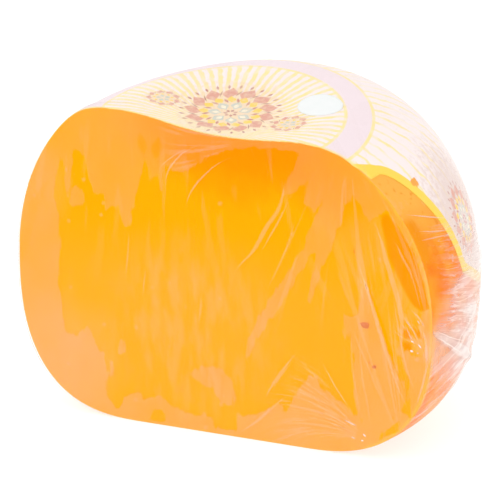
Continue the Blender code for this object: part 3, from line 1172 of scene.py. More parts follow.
FOLDS = (
    Fold(((72, 3.5), (77, 6.3), (86, 13.7), (97, 19.6), (107, 25.5), (120, 28)), 2.6, 0.10, 0.4),
    Fold(((66, 18), (78, 24), (90, 29), (104, 33)), 1.4, 0.07, 0.3),
    Fold(((84, 16), (92, 20.5), (104, 26.8), (112, 30)), 1.4, 0.09, 0.3),
    Fold(((48, 80.4), (65, 80.6), (77, 77.7), (88, 74), (99, 70.8), (108, 66)), 3.0, 0.12, 0.6),
    Fold(((20, 86.5), (32, 80.6), (44, 75.9), (60, 70.4), (80, 63.9), (96, 57)), 2.0, 0.10, 0.6),
    Fold(((27, 85), (44, 77.7), (59, 72.6), (76, 66.2), (84, 63)), 1.8, -0.09, -0.1),
    Fold(((30, 89), (44, 83), (62, 79), (78, 76)), 1.4, 0.09, 0.4),
    Fold(((18, 61), (28, 52.7), (36, 47.6), (42, 44)), 1.0, 0.14, 0.3),
    Fold(((1, 5), (8, 14), (16, 22), (24, 30)), 2.4, 0.10, 0.4),
    Fold(((18, 18), (26, 22), (34, 27), (44, 34)), 1.8, 0.12, 0.3),
    Fold(((24, 22), (31, 26), (38, 31)), 1.0, 0.12, 0.3),
    Fold(((14, 64), (30, 60.5), (44, 58.5), (60, 58)), 1.4, 0.06, 0.3),
    Fold(((10, 68), (24, 66), (40, 63), (56, 62)), 1.2, 0.06, 0.3),
    Fold(((100, -18), (108, -15), (116, -9), (123, -1), (128, 10)), 1.3, 0.14, 0.4),
    Fold(((60, 92.5), (75, 90), (95, 82), (110, 75), (124, 65.5)), 2.2, 0.05, 0.5),
    Fold(((80, 85.2), (86, 84), (92, 80.6), (97.5, 77.4), (100, 74)), 1.6, 0.11, 0.5),
    Fold(((66, 91), (80, 88.4), (95, 83), (104, 78)), 1.5, 0.05, 0.5),
    Fold(((64, 93), (78, 90), (94, 85), (106, 79.5)), 1.1, 0.07, 0.4),
    Fold(((69, 89), (80, 86.4), (90, 83)), 1.0, 0.07, 0.3),
    Fold(((62, 91), (66, 88.6), (69, 85.4), (70, 83.5)), 1.8, 0.18, 0.5),
    Fold(((25, 86.6), (33, 89.4), (44, 92), (52, 94)), 1.3, 0.16, 0.4),
    Fold(((109, -27), (116, -25.5), (120.5, -22.5), (126, -17), (130, -9), (132, -3)), 1.3, 0.15, 0.3),
    Fold(((116, -30), (120.6, -25.8), (125, -20), (129.5, -12)), 1.0, 0.12, 0.3),
    Fold(((54, -99), (66, -97), (76, -95), (88, -91.5), (100, -85), (112, -76)), 10.0, -0.02, 0, 3.0),
    Fold(((54, 89), (60, 86), (67.3, 80.3)), 1.3, 0.2, 0.4),
    Fold(((52, 87), (56.9, 85.1), (63.5, 81.5)), 0.8, 0.2, 0.3),
    Fold(((121, -36.5), (132, -38.5)), 5.5, -0.03, 0, 1.2),
    Fold(((120, -31.5), (131, -29.5)), 6.5, -0.03, 0, 1.2),
    Fold(((119, -13), (130, -16)), 9.0, -0.03, 0, 1.2),
    Fold(((63, -46.5), (76, -45), (88, -44)), 0.8, 0.10, 0.2),
    Fold(((57, -38), (64, -37.5), (72, -36)), 0.8, 0.09, 0.2),
    Fold(((49, -12), (56, -11), (63, -10.5)), 1.6, 0.08, 0.2),
    Fold(((41, 91.2), (47, 91.9), (53, 91.8), (58, 91.0), (64, 89.4)), 1.5, 0.14, 0.3),
    Fold(((-29, 65), (-20, 60), (-15, 56.7), (-6, 50.6), (5, 44.5), (20, 37), (32, 31)),
         7.0, 0.24, 1.0, 1.4, Side.RIGHT),
    Fold(((-23, 63.5), (-14, 58), (-4, 52.8), (8, 48)), 0.9, 0.3, 0.12, side=Side.RIGHT),
    Fold(((-22, 60), (-12, 53.6), (-2, 47), (6, 43)), 0.8, 0.3, 0.1, side=Side.RIGHT),
    Fold(((-19, 109.8), (-6, 105.6), (8, 101.2)), 0.9, 0.32, 0.08, side=Side.RIGHT),
    Fold(((-18, 102.8), (-5, 99.4), (8, 97.0)), 0.8, 0.28, 0.08, side=Side.RIGHT),
    Fold(((-19, 98.8), (-8, 97.6), (7, 95.3)), 0.8, 0.28, 0.08, side=Side.RIGHT),
)

FANS = (
    Fan(Side.FRONT, (12, 0, 134.5), (-1, 0, -0.2), 20, (8, 46), 110, 0.5, 0.09, 0.3, 30, 0.8),
    Fan(Side.FRONT, (64.6, 0, 9), (-1, 0, 0.42), 32, (3, 44), 95, 0.5, 0.08, 0.5, 26, -1.5),
    Fan(Side.FRONT, (64.6, 0, 9), (-1, 0, 0.36), 36, (3, 52), 110, 0.5, 0.1, 0.1, 40, -1.5, thin=True),
    Fan(Side.FRONT, (90, 0, 54), (-0.8, 0, 0.75), 50, (1, 18), 60, 0.5, 0.12, 0.6, 12, 1.0),
    Fan(Side.FRONT, (56, 0, 150), (-0.12, 0, -1), 26, (26, 128), 150, 0.3, 0.05, 0.3, 50),
    Fan(Side.FRONT, (-30, 0, 480), (0, 0, -1), 12, (350, 478), 620, 0.24, 0.05, 0.2, 30),
    Fan(Side.FRONT, (82, 0, 8), (-0.25, 0, 1), 18, (6, 110), 130, 0.4, 0.06, 0.5, 60),
    Fan(Side.FRONT, (115, 0, 165), (-0.25, 0, -1), 14, (40, 125), 260, 0.45, 0.05, 0.3, 60),
    Fan(Side.RIGHT, (0, -300, 146), (0, 1, -0.23), 5, (298, 460), 860, 0.5, 0.14, 0.3, 18),
    Fan(Side.RIGHT, (0, -300, 146), (0, 1, -0.23), 5, (297, 460), 900, 0.5, 0.26, 0.08, 34, thin=True),
    Fan(Side.RIGHT, (0, -300, 146), (0, 1, -0.23), 5, (304, 460), 520, 0.42, 0.18, 0.35, 30),
    Fan(Side.RIGHT, (0, -200, -22), (0, 1, 0.26), 7, (176, 330), 420, 0.45, 0.14, 0.35, 26),
    Fan(Side.RIGHT, (0, -200, -22), (0, 1, 0.26), 7, (176, 330), 520, 0.45, 0.2, 0.08, 34, thin=True),
    Fan(Side.LEFT, (0, -260, 60), (0, 1, 0.05), 12, (242, 400), 620, 0.42, 0.16, 0.1, 30),
    Fan(Side.BACK, (20, 0, -120), (0.1, 0, 1), 50, (116, 280), 420, 0.42, 0.16, 0.4, 45),
    Fan(Side.TOP, (90, -60, 0), (-0.5, 1, 0), 60, (20, 190), 110, 0.2, 0.06, 0.1, 40),
)


@dataclass(frozen=True)
class Glint:
    """A painted glint: a small white spot on the wrap over the cut face, where a facet of the crumpled film
    shines.
    """

    middle: tuple[float, float]  # mm across and up
    size: tuple[float, float]  # mm, long and wide
    slope: float  # degrees downwards to the right
    shine: float = 0.9
    depth: float = 4.0  # mm in front of the cut and behind it

    def at(self, tree: Tree, place: Socket) -> Socket:
        """How strong the painted glint is at each place, 0 to 1.

        Args:
            tree: the material's tree.
            place: the place in space.

        Returns:
            The strength of the glint.
        """
        across, up = self.middle
        long, wide = self.size
        local = add(tree, "Mapping", {
            "Vector": place,
            "Location": (across * MM, -BALL.cut, up * MM),
            "Rotation": (0, math.radians(self.slope), 0),
            "Scale": (long / 2 * MM, self.depth * MM, wide / 2 * MM),
        }, vector_type="TEXTURE")
        away = add(tree, "VectorMath", (local,), out="Value", operation="LENGTH")
        return add(tree, "MapRange", (away, 1.0, 0.5, 0.0, self.shine), **SOFT)


# painted glints: white spots in the film's haze, where facets of crumpled film shine
GLINTS = (
    Glint((85.6, 55.7), (1.6, 1.0), 20),
    Glint((88.7, 53.9), (2.6, 0.7), 50),
    Glint((85.2, 51.2), (1.7, 1.1), 10),
    Glint((87.9, 50.7), (0.9, 0.6), -30, 0.6),
    Glint((88.1, 64.4), (2.2, 0.6), 50, 0.6),
    Glint((58.3, 15.2), (7.0, 0.8), 18, 0.5),
    Glint((64.6, 10.4), (2.2, 0.9), 40, 0.6),
    Glint((59.8, 8.6), (2.4, 0.7), 25, 0.5),
    Glint((63.7, 7.9), (1.4, 0.8), -10, 0.7),
)


@dataclass(frozen=True)
class Veil:
    """A place where the film only half clings, or lies in layers: pale strokes."""

    middle: tuple[float, float, float]  # mm
    radius: float  # mm
    haze: float
    drawn: tuple[float, float, float] = (1, 1, 0.3)  # less than 1 along the way it is stretched
    least: float = 0.15  # the share of the haze that is between the strokes
    core: float = 0.4  # the share of the radius within which it is full
    side: Side = Side.FRONT

    def strokes(self, tree: Tree, place: Socket) -> Socket:
        """How pale each place is, 0 to 1.

        Args:
            tree: the material's tree.
            place: the place in space.

        Returns:
            The strength of the strokes.
        """
        middle = tuple(part * MM for part in self.middle)
        away = add(tree, "VectorMath", (place, middle), out="Value", operation="DISTANCE")
        near = add(tree, "MapRange", (away, self.radius * MM, self.core * self.radius * MM), **SOFT)
        drawn = add(tree, "Mapping", {"Vector": place, "Scale": self.drawn})
        noise = add(tree, "TexNoise", {"Vector": drawn, "Scale": 1 / (5 * MM), "Detail": 3.0})
        pale = add(tree, "MapRange", (noise, 0.42, 0.66, self.least, 1.0), **SOFT)
        return add(tree, "Math", (near, pale), operation="MULTIPLY")


VEILS = (
    Veil((-16, -20.7, 46), 52, 0.06),
    Veil((-78, -20.7, 24), 36, 0.06, least=0.8),
    Veil((-93, -20.7, 102), 26, 0.04, least=0.8, core=0.5),
    Veil((64, -20.7, 95), 17, 0.035, least=0.6),
    Veil((93, -20.7, 54), 9, 0.14, least=0.7, core=0.3),
    Veil((97, 26, 56), 37, 0.28, (1, 0.3, 1), least=0.6, core=0.6, side=Side.RIGHT),
    Veil((106, 2, 53), 32, 0.26, (1, 0.3, 1), least=0.7, core=0.5, side=Side.RIGHT),
    Veil((92, 6, 22), 26, 0.05, (1, 0.3, 1), least=0.6, side=Side.RIGHT),
    Veil((95, -16, 57), 9, 0.15, (1, 0.3, 1), least=0.7, side=Side.RIGHT),
    Veil((92, -18, 47), 9, 0.17, least=0.6, core=0.3, side=Side.RIGHT),
)


@dataclass(frozen=True)
class StretchedFilm:
    """Thin clear stretch film: deep and clear where it clings, milky where it lifts or creases."""

    tint: str = "#FBF0EA"
    lifted: float = 0.07  # the haze where it has let go
    floor_reflection: float = 0.02  # painted reflection of the white floor: haze on the lower half of the cut face
    bubble: float = 8 * MM  # between two small bubbles of air
    bubble_haze: float = 0.06
    grazing: float = 0.25  # the haze where it is seen almost edge on
    inner: float = 0.0005  # how much its inner face shows
    roughness: float = 0.25

    def bubbles(self, tree: Tree, place: Socket) -> Socket:
        """A few small bubbles of air under the film.

        Args:
            tree: the material's tree.
            place: the place in space.

        Returns:
            1 in a bubble, 0 beside it.
        """
        cells = add(tree, "TexVoronoi", {"Vector": place, "Scale": 1 / self.bubble}).node.outputs
        dot = add(tree, "MapRange", (cells["Distance"], 0.17, 0.10), **SOFT)
        chance = add(tree, "SeparateXYZ", (cells["Color"],))
        some = add(tree, "MapRange", (chance, 0.72, 0.76), **SOFT)
        return add(tree, "Math", (dot, some), operation="MULTIPLY")

    def material(self, name: str, sides: tuple[Side, ...]) -> bpy.types.Material:
        """See-through film with creases, and a soft gloss.

        Args:
            name: the material's name.
            sides: the sides that it covers, whose creases it shows.

        Returns:
            The material.
        """
        made, tree, shader = new_material(name)
        place = add(tree, "TexCoord", out="Object")
        facing = add(tree, "Attribute", out="Vector", attribute_name="facing")
        loose = loose_share(tree, place)
        cloud = add(tree, "TexNoise", {"Vector": place, "Scale": 1 / (24 * MM), "Detail": 2.0})
        depth = add(tree, "MapRange", (cloud, 0.3, 0.7, 0.7, 1.3))
        up = add(tree, "SeparateXYZ", (place,), out="Z")
        # painted reflection of the white floor: the haze where the film lets go grows weaker higher up the
        # face
        thin = add(tree, "MapRange", (up, 40 * MM, 125 * MM, 1.1, 0.6))
        haze = add(tree, "Math", (loose, self.lifted), operation="MULTIPLY")
        for share in (depth, thin):
            haze = add(tree, "Math", (haze, share), operation="MULTIPLY")
        veils, fans, folds = (
            [line for line in lines if line.side in sides] for lines in (VEILS, FANS, FOLDS)
        )
        if Side.FRONT in sides:
            bubble = self.bubbles(tree, place)
            haze = add(tree, "Math", (bubble, self.bubble_haze, haze), operation="MULTIPLY_ADD")
            # painted reflection of the white floor, on the lower half of the face
            floor_reflection = add(tree, "MapRange", (up, 58 * MM, 98 * MM, self.floor_reflection, 0.0), **SOFT)
            haze = add(tree, "Math", (floor_reflection, haze), operation="ADD")
        for veil in veils:
            share = veil.strokes(tree, place)
            haze = add(tree, "Math", (share, veil.haze, haze), operation="MULTIPLY_ADD")
        for fan in fans:
            share = fan.lines(tree, place, facing)
            haze = add(tree, "Math", (share, fan.haze, haze), operation="MULTIPLY_ADD")
        groove = add(tree, "Attribute", out="Fac", attribute_name="groove")
        outside = add(tree, "MapRange", (groove, *GROOVE_SOFT, 1.0, 0.15), **SOFT)
        haze = add(tree, "Math", (haze, outside), operation="MULTIPLY")
        for fold in folds:
            share = fold.lines(tree, place, facing)
            haze = add(tree, "Math", (share, fold.haze, haze), operation="MULTIPLY_ADD")
        # painted glints
        for glint in GLINTS if Side.FRONT in sides else ():
            haze = add(tree, "Math", (glint.at(tree, place), haze), operation="ADD")
        rim = add(tree, "LayerWeight", {"Blend": 0.5}, out="Facing")
        rim = add(tree, "MapRange", (rim, 0.4, 1.0, 0.0, self.grazing), **SOFT)
        top = side_share(tree, facing, Side.TOP)
        thin = add(tree, "Math", (top, -0.8, 1.0), operation="MULTIPLY_ADD")
        low = add(tree, "MapRange", (up, 8 * MM, 26 * MM, 0.2, 1.0), **SOFT)
        for share in (thin, low):
            rim = add(tree, "Math", (rim, share), operation="MULTIPLY")
        haze = add(tree, "Math", (rim, haze), operation="ADD")
        alpha = add(tree, "Clamp", (haze, 0.0, 0.9))
        tree.links.new(alpha, shader["Alpha"])
        shader["Base Color"].default_value = colour(self.tint)
        shader["Roughness"].default_value = self.roughness
        return made

    def inner_face(self) -> bpy.types.Material:
        """The film's inner face, which shows next to nothing.

        Returns:
            The material.
        """
        made, _, shader = new_material("clear_stretch_film_inside")
        shader["Base Color"].default_value = colour(self.tint)
        shader["Alpha"].default_value = self.inner
        return made


# ---- Pieces ----------------------------------------------------------------------------------


def in_groove(places: Array) -> Array:
    """How far inside a groove of the wrap each place lies, in metres; less than 0 outside."""
    inside = np.max([groove.inside(places[:, 0], places[:, 2]) for groove in GROOVES], axis=0)
    return inside - np.maximum(places[:, 1] + BALL.cut, 0)


def face_cling(places: Array) -> Array:
    """How firmly the wrap clings to the cut face.

    Args:
        places: the places on the cut face.

    Returns:
        Metres inside such a patch, less than 0 outside.
    """
    grip = np.full(len(places), -8 * MM)
    for patch in (*PATCHES, *GROOVES):
        inside = patch.inside(places[:, 0], places[:, 2])
        grip = np.maximum(grip, inside) if patch.clings else np.minimum(grip, -inside)
    return grip


@dataclass
class CheeseBlock:
    """The cheese itself: paste with a thin rind, its cut face drawn straight by a wire."""

    sheet: RingSheet = RingSheet(around=420, face_rings=52, round_rings=60, edge=0.5 * MM)
    edge_round: float = 0.12 * MM
    drag_depth: float = 0.06 * MM
    drag_pitch: float = 5 * MM
    dent_depth: float = 0.05 * MM
    dent_pitch: float = 24 * MM
    calm: float = 0.5 * MM  # of plain surface on both sides of the cut's edge
    face_fade: float = 3 * MM  # from the edge to where the relief of the face is full
    round_fade: float = 6 * MM
    paste: CutPaste = CutPaste()
    rind: OrangeRind = OrangeRind()

    def build(self) -> bpy.types.Object:
        """Makes the block and dresses it.

        Returns:
            The finished piece.
        """
        mesh, from_edge = self.sheet.mesh("cheese_block")
        places, normals = vertex_places(mesh), vertex_normals(mesh)
        on_face = smooth_step(-from_edge, self.calm, self.face_fade)
        on_round = smooth_step(from_edge, self.calm, self.round_fade)
        on_round *= smooth_step(places[:, 2], 0, self.round_fade)
        drawn = ripple(places * (1, 0, 0.08), self.drag_pitch, seed=3)
        dents = ripple(places, self.dent_pitch, seed=5)
        depth = self.drag_depth * on_face * (1 + drawn) + self.dent_depth * on_round * (1 + dents)
        depth += self.edge_round * (np.abs(from_edge) < 0.1 * self.sheet.edge)
        move_vertices(mesh, places - normals * depth[:, None])
        keep(mesh, "from_edge", from_edge)
        keep(mesh, "cling", face_cling(places))
        keep(mesh, "groove", in_groove(places))
        block = show(mesh, "cheese_block")
        for finish in (self.paste, self.rind):
            mesh.materials.append(finish.material())
        face_count = self.sheet.around * self.sheet.face_rings
        indices = (np.arange(len(mesh.polygons)) >= face_count).astype(np.int32)
        mesh.polygons.foreach_set("material_index", indices)
        stand_for(block, "cheese")
        return block


@dataclass
class PaperLabel:
    """The printed label: lobes that reach down the side, cut through with the cheese."""

    lobes: int = 3
    notch_angle: float = math.radians(-20)
    notch_half: float = math.radians(19.5)
    notch_radius: float = 0.0688
    lobe_rise: float = 0.036
    edge_softness: float = math.radians(12)
    tip_height: float = 0.0585
    tip_round: float = 0.057
    ring_centre: tuple[float, float] = (-6.5 * MM, -7.5 * MM)
    height: float = -0.1 * MM  # pressed into the rind, so that its rim casts no line
    wall: float = 0.2 * MM
    crinkle: float = 0.03 * MM
    crinkle_pitch: float = 16 * MM
    crinkled: tuple[float, float] = (40 * MM, 90 * MM)  # from the ring's middle: none, full
    ragged: float = 0.5 * MM  # how unevenly the wire tore the paper
    ragged_pitch: float = 4 * MM
    around: int = 640
    rings: int = 56
    fine_steps: int = 900  # of each shoulder of the ball's outline
    paper: PrintedPaper = PrintedPaper()

    def from_notch(self, angle: Array) -> Array:
        """The angle between each direction and the middle of the nearest notch."""
        turn = math.tau / self.lobes
        return np.abs((angle - self.notch_angle + turn / 2) % turn - turn / 2)

    def ends(self, angle: Array, line: Array) -> tuple[Array, Array]:
        """How far along the ball's outline the label runs in each direction.

        Args:
            angle: the directions about the ball's axis.
            line: the ball's outline, from BallForm.profile.

        Returns:
            The length from the middle of the top to the label's end, and whether it ends at
            the cut there.
        """
        radius = line[:, 0] * BALL.spread(angle)[:, None]
        flat = np.stack([line[:, 0] * np.cos(angle)[:, None], line[:, 0] * np.sin(angle)[:, None]], -1)
        high = np.broadcast_to(line[:, 1], radius.shape)[..., None]
        up = BALL.settled(np.concatenate([flat, high], -1))[..., 2]
        away = self.from_notch(angle)[:, None]
        rising = np.clip((away - self.notch_half) / (2 * self.edge_softness) + 0.5, 0, 1)
        reach = self.notch_radius + self.lobe_rise * rising**2 * (3 - 2 * rising)
        half_turn = math.pi / self.lobes
        tip = self.tip_height + self.tip_round * ((half_turn - away) / half_turn) ** 2
        walk = np.stack([angle * BALL.radius, 0 * angle, 0 * angle], -1)
        torn = self.ragged * (0.5 + 0.5 * ripple(walk, self.ragged_pitch, seed=8))
        past_cut = -radius * np.sin(angle)[:, None] - BALL.cut + torn[:, None]
        past_rim = np.maximum(radius - reach, tip - up)
        lengths = []
        for past in (past_cut, past_rim):
            first = np.argmax(past > 0, axis=1)
            first = np.where(first == 0, len(line) - 1, first)
            rows = np.arange(len(angle))
            a, b = past[rows, first - 1], past[rows, first]
            share = np.clip(-a / np.where(b == a, 1, b - a), 0, 1)
            lengths.append(line[first - 1, 2] + share * (line[first, 2] - line[first - 1, 2]))
        return np.minimum(*lengths), lengths[0] < lengths[1]

    def build(self) -> bpy.types.Object:
        """Makes the label and dresses it.

        Returns:
            The finished piece.
        """
        line = BALL.profile(self.fine_steps)
        angle = np.linspace(0, math.tau, self.around, endpoint=False)
        end, at_cut = self.ends(angle, line)
        run = end * np.linspace(0, 1, self.rings + 1)[:, None]
        radius = np.interp(run, line[:, 2], line[:, 0])
        high = np.interp(run, line[:, 2], line[:, 1])
        even = np.stack([radius * np.cos(angle), radius * np.sin(angle), high], -1)
        rows = BALL.settled(even)
        mesh = ring_mesh("paper_label", rows, closed_end=False)
        places, normals = vertex_places(mesh), vertex_normals(mesh)
        local = places[:, :2] - np.array(self.ring_centre)
        extra = np.concatenate([[0], (run - radius)[1:].ravel()])
        reach = np.linalg.norm(local, axis=1)
        flat = local * (1 + extra / np.maximum(reach, 1e-6))[:, None]
        keep_uv(mesh, "flat", flat)
        rim = rows[-1]
        keep(mesh, "from_rim", self.nearest(places, rim[~at_cut]))
        keep(mesh, "from_cut", np.maximum(places[:, 1] + BALL.cut, 0))
        wave = ripple(even[1:].reshape(-1, 3) * (1, 1, 0.4), self.crinkle_pitch, seed=11)
        wave = np.concatenate([[0], wave]) * smooth_step(reach, *self.crinkled)
        move_vertices(mesh, places + normals * (self.height + self.crinkle * (1 + wave))[:, None])
        label = show(mesh, "paper_label")
        mesh.materials.append(self.paper.material())
        thicken(label, self.wall)
        stand_for(label, "label")
        return label

    @staticmethod
    def nearest(places: Array, others: Array) -> Array:
        """The distance from each place to the nearest of the others.

        Args:
            places: where the distances are wanted.
            others: what they are measured to.

        Returns:
            One distance for each place.
        """
        found = [
            np.linalg.norm(some[:, None] - others[None], axis=2).min(axis=1)
            for some in np.array_split(places, 60)  # a few at a time, to spare memory
        ]
        return np.concatenate(found)


@dataclass
class RoundSticker:
    """The small round sticker that lies on the wrap."""

    centre: tuple[float, float] = (0.0277, 0.0177)
    radius: float = 0.0096
    height: float = 0.34 * MM
    wall: float = 0.08 * MM
    skew: float = 0.19  # how far it was dragged out of round when it was pressed on
    skew_angle: float = math.radians(23.3)
    wave: float = 0.02 * MM
    wave_pitch: float = 12 * MM
    around: int = 96
    rings: int = 14
    rim: float = 0.985  # outside this share of the radius it bends down to the wrap
    pressed: float = 0.2 * MM  # how far its rim is pressed down
    paper: StickerPaper = StickerPaper()

    def build(self) -> bpy.types.Object:
        """Makes the sticker and dresses it.

        Returns:
            The finished piece.
        """
        angle = np.linspace(0, math.tau, self.around, endpoint=False)
        share = np.append(np.linspace(0, self.rim, self.rings), 1)
        out = self.radius * share[:, None]
        along = out * np.cos(angle)
        across = out * np.sin(angle) - self.skew * along
        turn = np.array([math.cos(self.skew_angle), math.sin(self.skew_angle)])
        x = self.centre[0] + along * turn[0] - across * turn[1]
        y = self.centre[1] + along * turn[1] + across * turn[0]
        base = np.stack([x, y, 0 * x + BALL.heart[2]], -1)
        up = np.broadcast_to((0.0, 0.0, 1.0), base.shape)
        high = BALL.heart[2] + BALL.reach(base, up)
        mesh = ring_mesh("round_sticker", np.stack([x, y, high], -1), closed_end=False)
        places, normals = vertex_places(mesh), vertex_normals(mesh)
        height = self.height + self.wave * ripple(places, self.wave_pitch, seed=21)
        height[-self.around:] -= self.pressed
        move_vertices(mesh, places + normals * height[:, None])
        sticker = show(mesh, "round_sticker")
        mesh.materials.append(self.paper.material())
        thicken(sticker, self.wall)
        stand_for(sticker, "sticker")
        return sticker


@dataclass
class ClearWrap:
    """The stretch film round everything, open underneath like the solid that it stands for."""

    sheet: RingSheet = RingSheet(around=440, face_rings=76, round_rings=32, edge=0.8 * MM)
    clearance: float = 0.28 * MM  # above the rind, so that it lies over the label too
    least: float = 0.2 * MM  # above the rind, in the deepest crease
    lifted: float = 0.45 * MM
    wall: float = 0.03 * MM
    hem: float = 0.5 * MM
    sway: float = 4 * MM  # how much its cling to the round side changes
    sway_pitch: float = 42 * MM
    grip: float = 16 * MM  # how much more firmly it clings in its firm places and low down
    low: tuple[float, float] = (8 * MM, 30 * MM)  # the heights between which that grip fades
    firm: tuple[tuple[float, float, float, float], ...] = (  # where it clings, and how far round it
        (*RoundSticker.centre, 0.1403, 0.020),
        (0.094, -0.014, 0.080, 0.030),
        (0.086, -0.018, 0.098, 0.016),
    )
    film: StretchedFilm = StretchedFilm()

    def cling(self, places: Array, from_edge: Array) -> Array:
        """How firmly the film clings, on the cut face and round the side.

        Args:
            places: the places on the sheet.
            from_edge: how far each lies from the cut's edge.

        Returns:
            Metres inside a clinging patch, less than 0 outside.
        """
        round_grip = self.sway * ripple(places * (1, 1, 1.6), self.sway_pitch, seed=31)
        for *middle, reach in self.firm:
            round_grip += self.grip * bell(places - np.array(middle), reach)
        round_grip += self.grip * (1 - smooth_step(places[:, 2], *self.low))
        return np.where(from_edge > 0, round_grip, face_cling(places))

    def fold_up(self, wrap: bpy.types.Object, films: dict[str, bpy.types.Material]) -> None:
        """Lifts the sheet into its folds and gives it its materials, by a geometry tree.

        Args:
            wrap: the sheet as it lies on the rind.
            films: what the sheet is made of, over the cut face and over the round.
        """
        values = {"Clearance": self.clearance, "Lifted": self.lifted, "Least": self.least, **films}
        tree, given = geometry_tree("wrap_relief", "Sheet", "Folded sheet", values)
        place = add(tree, "GeometryNodeInputPosition")
        facing = add(tree, "GeometryNodeInputNamedAttribute", ("facing",), data_type="FLOAT_VECTOR")
        cling = add(tree, "GeometryNodeInputNamedAttribute", ("cling",), data_type="FLOAT")
        loose = add(tree, "MapRange", (cling, 2 * MM, -5 * MM), **SOFT)
        height = add(tree, "Math", (loose, given["Lifted"], given["Clearance"]), operation="MULTIPLY_ADD")
        for line in (*FOLDS, *FANS):
            share = line.lines(tree, place, facing)
            height = add(tree, "Math", (share, line.rise * MM, height), operation="MULTIPLY_ADD")
        height = add(tree, "Math", (height, given["Least"]), operation="MAXIMUM")
        normal = add(tree, "GeometryNodeInputNormal")
        offset = add(tree, "VectorMath", {0: normal, "Scale": height}, operation="SCALE")
        moved = add(tree, "GeometryNodeSetPosition", {"Geometry": given["Sheet"], "Offset": offset})
        real = add(tree, "GeometryNodeRealizeInstances", (moved,))
        from_edge = add(tree, "GeometryNodeInputNamedAttribute", ("from_edge",), data_type="FLOAT")
        on_face = add(
            tree, "FunctionNodeCompare", (from_edge, 0.0), data_type="FLOAT", operation="LESS_THAN"
        )
        dressed = add(tree, "GeometryNodeSetMaterial", {
            "Geometry": real, "Material": given["Round film"],
        })
        dressed = add(tree, "GeometryNodeSetMaterial", {
            "Geometry": dressed, "Selection": on_face, "Material": given["Face film"],
        })
        add(tree, "NodeGroupOutput", (dressed,))
        run_tree(wrap, tree, values)

    def build(self) -> bpy.types.Object:
        """Makes the wrap and dresses it.

        Returns:
            The finished piece.
        """
        # Both geometry tree and materials read these attributes.
        mesh, from_edge = self.sheet.mesh("clear_wrap")
        keep(mesh, "from_edge", from_edge)
        keep(mesh, "facing", vertex_normals(mesh))
        keep(mesh, "cling", self.cling(vertex_places(mesh), from_edge))
        keep(mesh, "groove", in_groove(vertex_places(mesh)))
        self.trim_hem(mesh)
        wrap = show(mesh, "clear_wrap")
        others = tuple(side for side in Side if side is not Side.FRONT)
        films = {
            "Face film": self.film.material("clear_film_over_the_cut", (Side.FRONT,)),
            "Round film": self.film.material("clear_film_round_the_side", others),
        }
        for film in films.values():
            mesh.materials.append(film)
        self.fold_up(wrap, films)
        wrap.data.materials.append(self.film.inner_face())
        thicken(wrap, self.wall, inside=len(films))
        stand_for(wrap, "film")
        return wrap

    def trim_hem(self, mesh: Mesh) -> None:
        """Cuts the sheet off a little above the table.

        Args:
            mesh: the sheet.
        """
        bm = bmesh.new()
        bm.from_mesh(mesh)
        everything = [*bm.verts, *bm.edges, *bm.faces]
        bmesh.ops.bisect_plane(
            bm, geom=everything, plane_co=(0, 0, self.hem), plane_no=(0, 0, 1), clear_inner=True
        )
        bm.to_mesh(mesh)
        bm.free()


